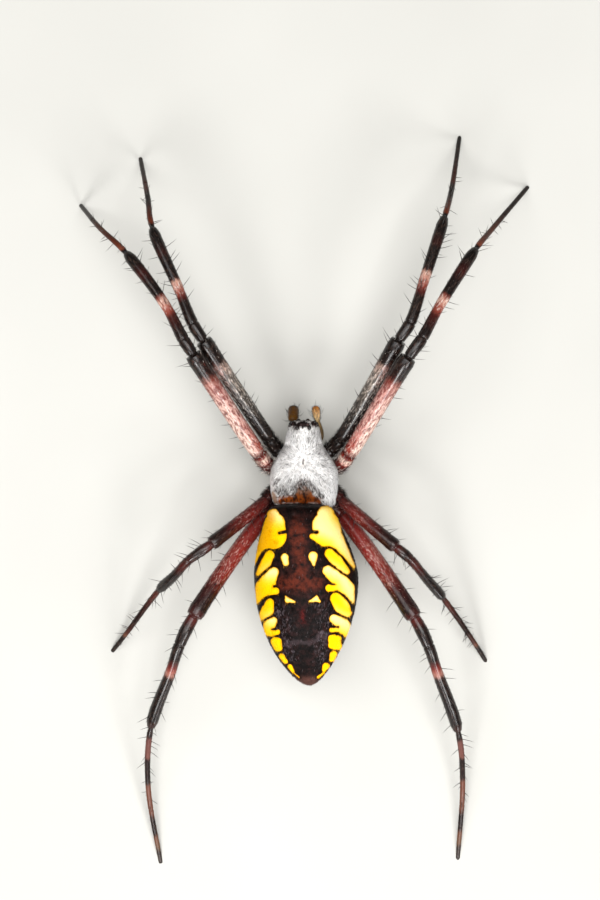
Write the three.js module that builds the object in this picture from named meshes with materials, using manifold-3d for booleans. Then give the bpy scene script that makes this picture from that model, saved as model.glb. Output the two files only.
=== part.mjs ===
// A female yellow garden spider, life size, standing still with its legs held in a wide X.
// Millimetres, +Z up. The head points towards -Y, the animal's left side towards +X, and the
// eight feet stand on the floor at z = 0. Its natural reference point is the middle of the
// ground that it covers.

import * as THREE from "three";
import Module from "manifold-3d";
import { mergeVertices } from "three/addons/utils/BufferGeometryUtils.js";

const wasm = await Module();
wasm.setup();

// Driving dimensions. Plan places are [x, y] from the waist, where the two halves of the body meet.
const waistY = 0.2;
const jointGap = 0.12; // soft skin between two leg pieces
const socketGap = 0.05; // clear space round an eye in its socket
const skinGap = 0.1; // clear space between the shells of the body

const carapaceLength = 8.75;
const carapaceFront = -8.3;
// Half widths of the carapace: [place along it, half width], a narrow head and then a round chest.
const carapaceOutline = [
  [0, 1.5], [0.12, 1.68], [0.3, 2.0], [0.35, 2.32], [0.47, 2.92],
  [0.56, 3.26], [0.66, 3.4], [0.8, 3.36], [1, 3.15],
];
const carapaceFloor = 7.05; // height of the carapace's lower rim
const headTop = 9.35;
const chestTop = 9.0;

const abdomenLength = 18.2;
const abdomenFront = 0.05;
const abdomenHalfWidth = 5.13;
const abdomenHalfHeight = 4.05;
const tailCap = 0.17; // half width of the blunt tail, as a share of the abdomen's
const widestPlace = 0.4; // how far along the abdomen it is widest, from 0 to 1

const plateFloor = 5.2; // underside of the breast plate
const plateHalfWidth = 1.5;
const floorZ = 0;
const footSink = 0.2; // how far a foot's centre line runs on below the floor before it is cut flat

// Half thicknesses of the four pairs of legs, from the front pair to the rear pair.
const girths = [
  { thigh: 0.83, shin: 0.59, foot: 0.33 },
  { thigh: 0.87, shin: 0.59, foot: 0.33 },
  { thigh: 0.7, shin: 0.52, foot: 0.33 },
  { thigh: 0.86, shin: 0.62, foot: 0.34 },
];

// Where the coxa of each pair starts and ends under the rim of the carapace, and how high the
// pair's joints stand: thigh base, knee, kneecap end, middle of the shin, ankle, middle of the foot.
const coxaZ = 6.15;
const coxae = [
  { root: [1.7, -4.6], end: [2.7, -5.4] },
  { root: [1.9, -3.1], end: [3.5, -3.7] },
  { root: [1.9, -1.7], end: [3.3, -1.0] },
  { root: [1.5, -0.3], end: [2.5, 0.3] },
];
const jointHeights = [
  [7.0, 12.0, 12.1, 11.3, 9.4, 6.1],
  [7.3, 12.8, 12.9, 11.8, 9.5, 6.2],
  [6.85, 9.5, 9.2, 7.8, 5.8, 1.7],
  [6.4, 9.6, 9.4, 8.3, 5.4, 2.4],
];

// The stance: plan places of the same joints, and last the tip, of every leg, left and right.
const stance = {
  l1: [
    [3.55, -6.5], [10, -16.2], [11, -17.8], [12.4, -21.2], [15.1, -27.4], [15.7, -30.7], [16.7, -35.1],
  ],
  l2: [
    [4.5, -4.9], [11, -14.8], [11.9, -16.2], [13.7, -19.6], [17.7, -24.9], [20.4, -27.5], [22.8, -30.3],
  ],
  l3: [[3.8, -0.3], [9.3, 4.1], [11.5, 5.7], [13, 7.3], [14.6, 8.8], [18.1, 13.4], [19.6, 15.3]],
  l4: [[3.8, 1.2], [11, 11.3], [12.4, 14.1], [13.3, 16.8], [15.4, 22.6], [15.8, 28.8], [14.6, 36.9]],
  r1: [
    [-3.7, -6.4], [-9.4, -16.2], [-10.5, -17.9], [-11.9, -22.1],
    [-14, -28.5], [-14.8, -31.3], [-15.9, -37.3],
  ],
  r2: [
    [-4.5, -4.9], [-10.35, -14.5], [-11.7, -16.4], [-13.5, -19.7],
    [-17.1, -25.3], [-18.9, -27.5], [-22.9, -32.2],
  ],
  r3: [[-3.75, -0.3], [-9.2, 4.4], [-10.6, 5.6], [-12.2, 7.5], [-14, 9.6], [-17.4, 14.4], [-18.6, 16.3]],
  r4: [
    [-3.8, 1.3], [-11, 11.4], [-12.4, 14.2], [-13.3, 16.8], [-15.5, 23], [-16.1, 28.3], [-15.7, 36.5],
  ],
};

// Outlines of the leg pieces: [place along the piece, share of the pair's half thickness].
const outlines = {
  coxa: [[0, 0.8], [0.3, 0.9], [0.55, 0.92], [0.62, 0.8], [0.7, 0.9], [0.94, 0.9], [1, 0.76]],
  thigh: [[0, 0.8], [0.04, 0.92], [0.2, 0.97], [0.55, 0.98], [0.85, 1.02], [0.94, 1.08], [1, 0.86]],
  shin: [[0, 0.98], [0.12, 1.1], [0.2, 1.02], [0.4, 0.9], [0.84, 1.06], [0.94, 1.02], [1, 0.68]],
  foot: [[0, 0.9], [0.04, 1.05], [0.3, 0.92], [0.75, 0.82], [0.8, 0.78], [1, 0.74]],
};

const cuticle = (colour, roughness) =>
  new THREE.MeshStandardMaterial({ color: colour, roughness, metalness: 0 });
const finishes = {
  silverHair: cuticle(0xd9d6cf, 0.8),
  abdomen: cuticle(0xf0c010, 0.45),
  darkShell: cuticle(0x2a1a14, 0.35),
  redLeg: cuticle(0x5a1d14, 0.4),
  paleLeg: cuticle(0xb98a80, 0.4),
  palp: cuticle(0xb58848, 0.5),
  eye: cuticle(0x080606, 0.08),
};

const spider = new THREE.Group();

function place(name, geometry, finish) {
  const mesh = new THREE.Mesh(geometry, finish);
  mesh.name = name;
  spider.add(mesh);
}

// Booleans: a geometry as a solid, and a solid back as a geometry.
function solid(geometry) {
  const bare = geometry.clone();
  bare.deleteAttribute("normal");
  bare.deleteAttribute("uv");
  const merged = mergeVertices(bare, 1e-3);
  const vertProperties = new Float32Array(merged.attributes.position.array);
  const triVerts = new Uint32Array(merged.index.array);
  return new wasm.Manifold(new wasm.Mesh({ numProp: 3, vertProperties, triVerts }));
}

function fromSolid(body) {
  const mesh = body.getMesh();
  const geometry = new THREE.BufferGeometry();
  geometry.setAttribute("position", new THREE.BufferAttribute(mesh.vertProperties, 3));
  geometry.setIndex(new THREE.BufferAttribute(mesh.triVerts, 1));
  return geometry;
}

// A limb piece: a turned outline bent along a stretch of a centre line.
// rows are [place along the piece, radius].
function limb(line, from, to, rows, sides = 10) {
  const total = line.getLength();
  const outline = [new THREE.Vector2(0, 0)];
  rows.forEach(([along, radius]) => outline.push(new THREE.Vector2(radius, along)));
  outline.push(new THREE.Vector2(0, 1));
  const geometry = new THREE.LatheGeometry(outline, sides);
  const places = geometry.getAttribute("position");
  const up = new THREE.Vector3(0, 0, 1);
  for (let index = 0; index < places.count; index += 1) {
    const along = Math.min(1, THREE.MathUtils.lerp(from, to, places.getY(index)) / total);
    const centre = line.getPointAt(along);
    const ahead = line.getTangentAt(along);
    const side = new THREE.Vector3().crossVectors(ahead, up).normalize();
    const above = new THREE.Vector3().crossVectors(side, ahead);
    centre.addScaledVector(side, places.getX(index));
    centre.addScaledVector(above, places.getZ(index));
    places.setXYZ(index, centre.x, centre.y, centre.z);
  }
  return geometry;
}

// A closed body along Y. section(along) gives a cross-section's middle [x, y, z], its half width,
// and its reach above and below that middle.
function loft(rows, sides, section) {
  const outline = [new THREE.Vector2(0, 0)];
  for (let row = 1; row < rows; row += 1) {
    outline.push(new THREE.Vector2(1, (1 - Math.cos((Math.PI * row) / rows)) / 2));
  }
  outline.push(new THREE.Vector2(0, 1));
  const geometry = new THREE.LatheGeometry(outline, sides);
  const places = geometry.getAttribute("position");
  for (let index = 0; index < places.count; index += 1) {
    const { middle, halfWidth, above, below } = section(places.getY(index));
    const up = places.getZ(index);
    const reach = up > 0 ? above : below;
    places.setXYZ(index, middle[0] + places.getX(index) * halfWidth, middle[1], middle[2] + up * reach);
  }
  return geometry;
}

const { smoothstep, lerp } = THREE.MathUtils;
const fade = (place, power, root) => Math.pow(Math.max(0, 1 - Math.pow(place, power)), root);

// Carapace: a narrow head that widens into a round chest, low and flat, blunt at both ends.
function carapaceSection(along) {
  const front = fade(Math.max(0, 0.12 - along) / 0.12, 10, 0.5);
  const rear = fade(Math.max(0, along - 0.74) / 0.26, 9, 0.45);
  const next = Math.max(1, carapaceOutline.findIndex(([spot]) => spot >= along));
  const [from, half] = carapaceOutline[next - 1];
  const [to, nextHalf] = carapaceOutline[next];
  const halfWidth = lerp(half, nextHalf, (along - from) / (to - from)) * front * rear;
  const crest = lerp(headTop, chestTop, smoothstep(along, 0.25, 0.5));
  const slope = lerp(1, 0.35, smoothstep(along, 0.62, 1));
  const above = (crest - carapaceFloor) * slope * front * rear;
  const y = waistY + carapaceFront + carapaceLength * along;
  return { middle: [0.05, y, carapaceFloor], halfWidth, above, below: 0.02 };
}

// Abdomen: a long egg, blunt and square-shouldered in front and drawn to a point behind.
function abdomenSection(along) {
  const ahead = Math.max(0, widestPlace - along) / widestPlace;
  const behind = Math.max(0, along - widestPlace) / (1 - widestPlace);
  const blunt = fade(ahead, 40, 0.5) * Math.hypot(fade(behind, 2, 0.75), tailCap * fade(behind, 24, 0.5));
  const halfWidth = abdomenHalfWidth * blunt * (1 - 0.42 * Math.pow(ahead, 1.5));
  const halfHeight = abdomenHalfHeight * blunt * (1 - 0.5 * Math.pow(ahead, 1.5));
  const x = lerp(0.34, -0.24, smoothstep(along, 0, 0.45)) - 0.3 * Math.pow(behind, 6);
  const z = lerp(lerp(9.7, 8.3, smoothstep(along, 0, 0.5)), 7.7, smoothstep(along, 0.5, 1));
  const y = waistY + abdomenFront + abdomenLength * along;
  return { middle: [x, y, z], halfWidth, above: halfHeight, below: halfHeight };
}

// Breast plate with the mouthparts in front of it and the core of the chest above it.
function plateSection(along) {
  const round = fade(Math.abs(2 * along - 1), 5, 0.5);
  const halfWidth = plateHalfWidth * round * lerp(0.72, 1, smoothstep(along, 0.1, 0.5));
  const deep = (carapaceFloor - skinGap - plateFloor) / 2;
  const middle = [0.05, waistY - 6.3 + 6.0 * along, plateFloor + deep];
  return { middle, halfWidth, above: deep * round, below: deep * round };
}

const point = ([x, y], z) => new THREE.Vector3(x, waistY + y, z);

// A smooth centre line through its joints, and the length of it as far as one of them.
const lineDetail = 200; // steps between two joints in which the length is measured
function curve(points) {
  const line = new THREE.CatmullRomCurve3(points, false, "centripetal");
  line.arcLengthDivisions = lineDetail * (points.length - 1);
  return line;
}
const lengthTo = (line, joint) => line.getLengths()[lineDetail * joint];

// Eyes: two rows of four, a square of four in the middle and a close pair on each corner.
const eyeMiddleX = 0.08;
const eyes = [
  { name: "front_middle", x: 0.46, y: -8.25, z: 8.3, radius: 0.2 },
  { name: "rear_middle", x: 0.6, y: -7.5, z: 9.15, radius: 0.2 },
  { name: "front_side", x: 1.18, y: -8.05, z: 8.3, radius: 0.16 },
  { name: "rear_side", x: 1.32, y: -7.75, z: 8.4, radius: 0.16 },
];

const eyePlaces = eyes.flatMap(({ name, x, y, z, radius }) =>
  [["l", 1], ["r", -1]].map(([side, sign]) => {
    const centre = new THREE.Vector3(eyeMiddleX + sign * x, waistY + y, z);
    return { name: `eye_${name}_${side}`, centre, radius };
  }),
);

function ball(centre, radius) {
  return new THREE.SphereGeometry(radius, 10, 7).translate(centre.x, centre.y, centre.z);
}

let carapace = solid(loft(18, 26, carapaceSection));
for (const { name, centre, radius } of eyePlaces) {
  carapace = carapace.subtract(solid(ball(centre, radius + socketGap)));
  place(name, ball(centre, radius), finishes.eye);
}
place("carapace", fromSolid(carapace), finishes.silverHair);
place("abdomen", loft(22, 28, abdomenSection), finishes.abdomen);
place("breast_plate", loft(9, 12, plateSection), finishes.darkShell);

// The legs. Each centre line runs from the root of the coxa to just under the floor.
const floorBlock = solid(new THREE.BoxGeometry(120, 120, 4).translate(0, 0, floorZ - 2));

for (const [leg, plan] of Object.entries(stance)) {
  const pair = Number(leg[1]) - 1;
  const sign = leg[0] === "l" ? 1 : -1;
  const { root, end } = coxae[pair];
  const girth = girths[pair];
  const heights = [...jointHeights[pair], floorZ - footSink];
  const joints = [point([sign * root[0], root[1]], coxaZ), point([sign * end[0], end[1]], coxaZ)];
  plan.forEach((spot, joint) => joints.push(point(spot, heights[joint])));
  const line = curve(joints);
  const pieces = [
    { name: "coxa", from: 0, to: 2, shape: "coxa", half: girth.thigh, finish: finishes.darkShell },
    { name: "thigh", from: 2, to: 3, shape: "thigh", half: girth.thigh, finish: finishes.paleLeg },
    { name: "shin", from: 3, to: 6, shape: "shin", half: girth.shin, finish: finishes.redLeg },
    { name: "foot", from: 6, to: 8, shape: "foot", half: girth.foot, finish: finishes.darkShell },
  ];
  for (const { name, from, to, shape, half, finish } of pieces) {
    const rows = outlines[shape].map(([along, share]) => [along, share * half]);
    const last = to === joints.length - 1;
    const start = lengthTo(line, from) + (from === 0 ? 0 : jointGap / 2);
    let geometry = limb(line, start, lengthTo(line, to) - (last ? 0 : jointGap / 2), rows);
    if (last) geometry = fromSolid(solid(geometry).subtract(floorBlock));
    place(`leg_${leg}_${name}`, geometry, finish);
  }
}

// Mouthparts and feelers: each is a centre line with its outline.
const jaw = [[0, 0.44], [0.2, 0.56], [0.6, 0.55], [0.9, 0.44], [1, 0.34]];
const fang = [[0, 0.28], [0.5, 0.27], [1, 0.25]];
const feelerThigh = [[0, 0.26], [0.2, 0.28], [0.8, 0.28], [1, 0.25]];
const feelerTips = {
  l: [[0, 0.46], [0.1, 0.52], [0.3, 0.53], [0.85, 0.52], [0.96, 0.49], [1, 0.42]],
  r: [[0, 0.27], [0.2, 0.28], [0.4, 0.34], [0.6, 0.4], [0.85, 0.42], [0.95, 0.38], [1, 0.3]],
};
const feelers = {
  l: [[[1.55, -5.9], 5.9], [[1.5, -7], 6.3], [[1.15, -8.15], 6.5], [[1.04, -9.55], 5.4]],
  r: [[[-1.5, -5.9], 5.9], [[-1.76, -6.9], 6.6], [[-1.38, -8.15], 6.6], [[-1.17, -9.58], 5.6]],
};
const middleX = 0.05;
const jawX = 0.6;
const jawTop = carapaceFloor - 1.5 * skinGap;

for (const [side, sign] of [["l", 1], ["r", -1]]) {
  const jawLine = curve([
    point([middleX + sign * jawX, -6.85], jawTop),
    point([middleX + sign * jawX, -7.2], 5.7),
    point([middleX + sign * (jawX - 0.05), -7.45], 4.5),
  ]);
  place(`jaw_${side}`, limb(jawLine, 0, jawLine.getLength(), jaw), finishes.darkShell);
  const fangLine = curve([
    point([middleX + sign * 0.56, -7.3], 4.3),
    point([middleX + sign * 0.44, -6.95], 4.0),
    point([middleX + sign * 0.34, -6.35], 4.05),
  ]);
  place(`fang_${side}`, limb(fangLine, jointGap, fangLine.getLength(), fang, 8), finishes.darkShell);
  const feelerLine = curve(feelers[side].map(([spot, z]) => point(spot, z)));
  const knee = lengthTo(feelerLine, 2);
  const thigh = limb(feelerLine, 0, knee - jointGap / 2, feelerThigh, 8);
  place(`feeler_${side}_thigh`, thigh, finishes.palp);
  const tip = limb(feelerLine, knee + jointGap / 2, feelerLine.getLength(), feelerTips[side], 8);
  place(`feeler_${side}_tip`, tip, finishes.palp);
}

// The waist stalk under the rear of the carapace, and the spinnerets under the tail.
const stalk = curve([point([0.1, -0.1], 6.4), point([0.15, 0.4], 6.55), point([0.2, 1.0], 6.65)]);
const stalkOutline = [[0, 0.32], [0.5, 0.36], [1, 0.32]];
place("waist", limb(stalk, 0, stalk.getLength(), stalkOutline), finishes.darkShell);
const spinnerets = curve([point([-0.2, 14.6], 5.2), point([-0.2, 14.8], 4.7), point([-0.2, 15.2], 4.1)]);
const spinneretOutline = [[0, 0.8], [0.3, 0.74], [0.7, 0.52], [1, 0.32]];
place("spinnerets", limb(spinnerets, 0, spinnerets.getLength(), spinneretOutline), finishes.darkShell);

export default spider;
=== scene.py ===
import math

import bmesh
import bpy
import numpy as np
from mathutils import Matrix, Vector
from mathutils.kdtree import KDTree


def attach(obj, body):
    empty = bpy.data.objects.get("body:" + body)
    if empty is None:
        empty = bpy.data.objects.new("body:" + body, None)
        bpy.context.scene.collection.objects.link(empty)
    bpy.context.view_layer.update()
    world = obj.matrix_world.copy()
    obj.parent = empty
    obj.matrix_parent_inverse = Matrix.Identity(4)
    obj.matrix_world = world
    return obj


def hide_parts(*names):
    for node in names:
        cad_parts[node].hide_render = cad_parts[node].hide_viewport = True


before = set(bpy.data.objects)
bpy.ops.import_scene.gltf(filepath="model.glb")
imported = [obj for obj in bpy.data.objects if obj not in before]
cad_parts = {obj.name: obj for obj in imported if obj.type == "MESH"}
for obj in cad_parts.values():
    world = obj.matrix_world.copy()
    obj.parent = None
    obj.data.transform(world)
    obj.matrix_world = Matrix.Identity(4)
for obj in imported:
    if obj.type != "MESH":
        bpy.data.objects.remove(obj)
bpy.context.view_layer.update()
print("frame loaded")

# Shapes are worked out in millimetres, in the CAD frame: head towards -Y, left side towards +X.
metre = 0.001
waistY = 0.2  # where head part and abdomen meet
farAway = 9.0  # past the reach of every brushed mark
draw = np.random.default_rng(11)


def linear(hexColour):
    parts = [int(hexColour[i:i + 2], 16) / 255 for i in (1, 3, 5)]
    return [((c + 0.055) / 1.055) ** 2.4 if c > 0.04045 else c / 12.92 for c in parts] + [1]


def add(tree, kind, inputs=None, stops=None, **settings):
    # A node with its settings, its links and, on a ramp, its (place, colour) stops. A node given as
    # an input is linked by the first of its outputs that is in use. A colour Mix has its share on
    # input 0 and its colours on inputs 6 and 7.
    node = tree.nodes.new("ShaderNode" + kind)
    for name, value in settings.items():
        setattr(node, name, value)
    for name, value in (inputs or {}).items():
        if isinstance(value, bpy.types.Node):
            value = next(output for output in value.outputs if output.enabled)
        if isinstance(value, bpy.types.NodeSocket):
            tree.links.new(value, node.inputs[name])
        else:
            node.inputs[name].default_value = value
    for index, (place, colour) in enumerate(stops or []):
        ramp = node.color_ramp.elements
        stop = ramp[index] if index < 2 else ramp.new(place)
        stop.position = place
        stop.color = linear(colour)
    return node


def newMaterial(name):
    material = bpy.data.materials.new(name)
    material.use_nodes = True
    material.node_tree.nodes.clear()
    return material, material.node_tree


def mottledMaterial(name, roughness, stops, size, detail=3, bump=0):
    # One tone mottled over another: size of the mottling in mm, depth of its bumps in metres.
    material, tree = newMaterial(name)
    where = add(tree, "TexCoord").outputs["Object"]
    mottle = add(tree, "TexNoise", {"Vector": where, "Scale": 1000 / size, "Detail": detail})
    tone = add(tree, "ValToRGB", {"Fac": mottle}, stops=stops)
    look = {"Base Color": tone, "Roughness": roughness, "IOR": 1.5}
    if bump:
        look["Normal"] = add(tree, "Bump", {"Height": mottle, "Strength": 0.3, "Distance": bump})
    shader = add(tree, "BsdfPrincipled", look)
    add(tree, "OutputMaterial", {"Surface": shader})
    return material


def smoothStep(value, low, high):
    t = np.clip((value - low) / (high - low), 0, 1)
    return t * t * (3 - 2 * t)


def touchDistance(x, y, chain):
    # How far a spot is outside a chain of round brush touches (x, y, radius), negative inside.
    best = np.full(np.shape(x), farAway)
    for (x1, y1, r1), (x2, y2, r2) in zip(chain, chain[1:]):
        dx, dy = x2 - x1, y2 - y1
        t = np.clip(((x - x1) * dx + (y - y1) * dy) / (dx * dx + dy * dy), 0, 1)
        best = np.minimum(best, np.hypot(x - x1 - t * dx, y - y1 - t * dy) - (r1 + (r2 - r1) * t))
    return best


def unit(vectors):
    return vectors / np.linalg.norm(vectors, axis=-1, keepdims=True)


def nearest(x, y, chains):
    return np.min([touchDistance(x, y, chain) for chain in chains], axis=0)


def fade(place, power, root):
    # 1 from the middle on, then rounded off to 0 where place is 1.
    return np.maximum(0, 1 - place ** power) ** root


def smoothed(values, reach):
    # A row of values, each averaged with those up to reach on both sides.
    window = np.hanning(2 * reach + 1)
    return np.convolve(np.pad(values, reach, mode="edge"), window / window.sum(), mode="valid")


# Centre lines

def centreLine(joints, steps=70):
    # The same centripetal Catmull-Rom line as the solids have, with the length at each joint.
    joints = np.array(joints, float)
    ends = np.array([2 * joints[0] - joints[1], *joints, 2 * joints[-1] - joints[-2]])
    places = []
    for index in range(len(joints) - 1):
        p0, p1, p2, p3 = ends[index:index + 4]
        d0, d1, d2 = (math.sqrt(np.linalg.norm(b - a)) for a, b in ((p0, p1), (p1, p2), (p2, p3)))
        m1 = ((p1 - p0) / d0 - (p2 - p0) / (d0 + d1) + (p2 - p1) / d1) * d1
        m2 = ((p2 - p1) / d1 - (p3 - p1) / (d1 + d2) + (p3 - p2) / d2) * d1
        t = np.linspace(0, 1, steps, endpoint=False)[:, None]
        bend = (-3 * p1 + 3 * p2 - 2 * m1 - m2) * t ** 2 + (2 * p1 - 2 * p2 + m1 + m2) * t ** 3
        places.append(p1 + m1 * t + bend)
    places = np.vstack(places + [joints[-1:]])
    lengths = np.concatenate([[0], np.cumsum(np.linalg.norm(np.diff(places, axis=0), axis=1))])
    return {"places": places, "lengths": lengths, "joints": lengths[::steps]}


def lengthAt(line, joint):
    return np.interp(joint, np.arange(len(line["joints"])), line["joints"])


def jointAt(line, length):
    return np.interp(length, line["joints"], np.arange(len(line["joints"])))


def frameAt(line, length):
    def place(where):
        return np.stack([np.interp(where, line["lengths"], line["places"][:, k]) for k in range(3)], axis=-1)
    step = 0.05
    ahead = unit(place(np.minimum(length + step, line["lengths"][-1])) - place(np.maximum(length - step, 0)))
    side = unit(np.cross(ahead, [0, 0, 1]))
    return place(length), ahead, side, np.cross(side, ahead)


def aroundLine(line, row, radius, angle):
    centre, _, side, above = frameAt(line, np.clip(row, 0, line["lengths"][-1]))
    return centre + side * (radius * np.cos(angle))[:, None] + above * (radius * np.sin(angle))[:, None]


# Meshes

def getValues(items, name, size):
    values = np.zeros(len(items) * size, np.int32 if name == "vertices" else np.float32)
    items.foreach_get(name, values)
    return values.reshape(-1, size)


def faceRings(shape):
    # The operators leave the faces in an order that changes from run to run, so it is fixed here.
    shape.verts.index_update()
    rings = [[vert.index for vert in face.verts] for face in shape.faces]
    return sorted(ring[ring.index(min(ring)):] + ring[:ring.index(min(ring))] for ring in rings)


def toMesh(shape, name):
    mesh = bpy.data.meshes.new(name)
    mesh.from_pydata([vert.co[:] for vert in shape.verts], [], faceRings(shape))
    shape.free()
    return mesh


def setMarks(mesh, marks):
    # Point attributes: one number, or a vector, for each vertex.
    for name, values in marks.items():
        values = np.asarray(values, np.float32)
        kind, field = ("FLOAT", "value") if values.ndim == 1 else ("FLOAT_VECTOR", "vector")
        mesh.attributes.new(name, kind, "POINT").data.foreach_set(field, values.ravel())


def toPiece(mesh, name, material, nodes=()):
    mesh.materials.append(material)
    mesh.shade_smooth()
    piece = bpy.data.objects.new(name, mesh)
    bpy.context.scene.collection.objects.link(piece)
    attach(piece, "root")
    if nodes:
        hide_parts(*nodes)


def roundRows(count):
    # Rows for a closed body, closer together towards its ends.
    rows = (1 - np.cos(np.linspace(0, math.pi, count + 1))) / 2
    radii = np.ones(count + 1)
    radii[[0, -1]] = 0
    return rows, radii


def skin(name, rows, radii, sides, put, material, slot, nodes=()):
    # A turned, closed body, then shaped: put(row, radius, angle) gives each vertex's place in mm.
    shape = bmesh.new()
    profile = [shape.verts.new((radius, 0, row)) for row, radius in zip(rows, radii)]
    for first, second in zip(profile, profile[1:]):
        shape.edges.new((first, second))
    bmesh.ops.spin(shape, geom=shape.verts[:] + shape.edges[:], cent=(0, 0, 0), axis=(0, 0, 1),
                   angle=math.tau, steps=sides, use_merge=True, use_duplicate=False)
    bmesh.ops.remove_doubles(shape, verts=shape.verts, dist=1e-6)
    bmesh.ops.recalc_face_normals(shape, faces=shape.faces)
    mesh = toMesh(shape, name)
    flat = getValues(mesh.vertices, "co", 3).astype(float)
    row, radius, angle = flat[:, 2], np.hypot(flat[:, 0], flat[:, 1]), np.arctan2(flat[:, 1], flat[:, 0])
    places = put(row, radius, angle)
    mesh.vertices.foreach_set("co", (places * metre).astype(np.float32).ravel())
    mesh.flip_normals()  # every shaping below turns the axes' order round
    mesh.update()
    toPiece(mesh, name, material, nodes)
    unwrap = np.stack([(angle / math.tau) % 1, (row - row.min()) / (row.max() - row.min())], axis=1)
    return {"mesh": mesh, "row": row, "radius": radius, "angle": angle, "places": places, "unwrap": unwrap}


def scatter(body, count, weigh):
    # Roots spread evenly over a skin, then thinned by weigh(places, normals) from 0 to 1.
    mesh = body["mesh"]
    mesh.calc_loop_triangles()
    corners = getValues(mesh.loop_triangles, "vertices", 3)
    places, normals = body["places"], getValues(mesh.vertices, "normal", 3)
    first, second, third = (places[corners[:, k]] for k in range(3))
    area = np.linalg.norm(np.cross(second - first, third - first), axis=1)
    chance = area * weigh((first + second + third) / 3, normals[corners].mean(axis=1))
    chosen = corners[draw.choice(len(corners), count, p=chance / chance.sum())]
    mix = draw.dirichlet((1, 1, 1), count)[:, :, None]
    unwrap = body["unwrap"][chosen]
    unwrap[:, :, 0] -= np.round(unwrap[:, :, 0] - unwrap[:, :1, 0])
    patches = (mix * unwrap).sum(axis=1)
    patches[:, 0] %= 1
    return (mix * places[chosen]).sum(axis=1), unit((mix * normals[chosen]).sum(axis=1)), patches


def hairShape(rings):
    # One hair from z = 0 to 1, a unit wide at its root, drawn out to a point.
    shape = bmesh.new()
    bmesh.ops.create_circle(shape, cap_ends=True, segments=3, radius=0.5)
    rim = shape.edges[:]
    slim = 1
    for ring in range(1, rings + 1):
        made = bmesh.ops.extrude_edge_only(shape, edges=rim)["geom"]
        verts = [part for part in made if isinstance(part, bmesh.types.BMVert)]
        rim = [part for part in made if isinstance(part, bmesh.types.BMEdge)]
        bmesh.ops.translate(shape, verts=verts, vec=(0, 0, 1 / rings))
        if ring == rings:
            bmesh.ops.pointmerge(shape, verts=verts, merge_co=(0, 0, 1))
        else:
            share = math.sqrt(1 - ring / rings)
            bmesh.ops.scale(shape, verts=verts, vec=(share / slim, share / slim, 1))
            slim = share
    bmesh.ops.recalc_face_normals(shape, faces=shape.faces)
    bmesh.ops.triangulate(shape, faces=shape.faces)
    verts = np.array([vert.co[:] for vert in shape.verts])
    faces = np.array(faceRings(shape))
    shape.free()
    return verts, faces


hairs = {
    "sunk": 0.02,  # how deep the roots stand in the skin
    "clear": 0.01,  # lowest height over the floor
    "patch": 0.003,  # each hair's own patch on the map, and the map's margin
    "margin": 0.005,
}


def coat(name, roots, normals, patches, hair, material, marks=None, rings=2, curl=0.5):
    # One closed mesh of hairs. hair holds each one's lie, length, width and lift off the skin in
    # radians, of which curl is bent back towards the tip.
    verts, faces = hairShape(rings)
    count = len(roots)
    lies = unit(hair["lie"] - normals * np.sum(hair["lie"] * normals, axis=1, keepdims=True))
    across = np.cross(normals, lies)
    length, width, lift = (np.broadcast_to(hair[key], count)[:, None] for key in ("length", "width", "lift"))
    run = verts[None, :, 2] * length
    angle = lift * (1 - curl * verts[None, :, 2])
    along = (run * np.cos(angle) - verts[None, :, 1] * width * np.sin(angle))[..., None]
    outward = (run * np.sin(angle) + verts[None, :, 1] * width * np.cos(angle) - hairs["sunk"])[..., None]
    places = (roots[:, None] + lies[:, None] * along + normals[:, None] * outward
              + across[:, None] * (verts[None, :, 0] * width)[..., None])
    places[..., 2] = np.maximum(places[..., 2], hairs["clear"])
    corners = (faces[None] + (np.arange(count) * len(verts))[:, None, None]).ravel()
    mesh = bpy.data.meshes.new(name)
    mesh.vertices.add(count * len(verts))
    mesh.loops.add(len(corners))
    mesh.polygons.add(len(corners) // 3)
    mesh.vertices.foreach_set("co", (places * metre).astype(np.float32).ravel())
    mesh.loops.foreach_set("vertex_index", corners.astype(np.int32))
    mesh.polygons.foreach_set("loop_start", np.arange(0, len(corners), 3, dtype=np.int32))
    mesh.update(calc_edges=True)
    # Every hair has a small patch of its own at its root's place on the skin's unwrap.
    corner = verts[corners % len(verts)]
    spread = hairs["patch"] * np.stack([corner[:, 0] + 0.2 * corner[:, 1], corner[:, 2] - 0.5], axis=1)
    bake = patches[corners // len(verts)] * (1 - 2 * hairs["margin"]) + hairs["margin"] + spread
    mesh.uv_layers.new(name="OFBake").data.foreach_set("uv", bake.astype(np.float32).ravel())
    marks = {"chance": draw.random(count), **(marks or {})}
    setMarks(mesh, {mark: np.repeat(values, len(verts), axis=0) for mark, values in marks.items()})
    setMarks(mesh, {"reach": np.tile(verts[:, 2], count)})
    toPiece(mesh, name, material)


# Camera, floor and light

stage = {
    "cameraHeight": 400.0,  # above the floor, in mm
    "cameraPlace": (0.4, -5.1),
    "reach": 45.0,  # half of the view's height at the level below
    "reachLevel": 8.0,
    "sensor": 24,
    "clipFrom": 0.01,  # in m
    "floorSize": 900.0,
    "world": (1, 0.98, 0.94, 1),
    "worldStrength": 0.22,
    # Each lamp's place, size and power in watts. Those behind draw a bright line along the legs.
    "lamps": [("above", (-50, 20, 420), 240, 1.4), ("behind", (80, 285, 275), 120, 1.1),
              ("beside", (-170, 270, 265), 110, 0.8), ("lowLeft", (150, 385, 45), 100, 0.12),
              ("lowRight", (-150, 385, 45), 100, 0.4), ("fill", (160, -60, 370), 260, 0.75)],
}


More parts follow.
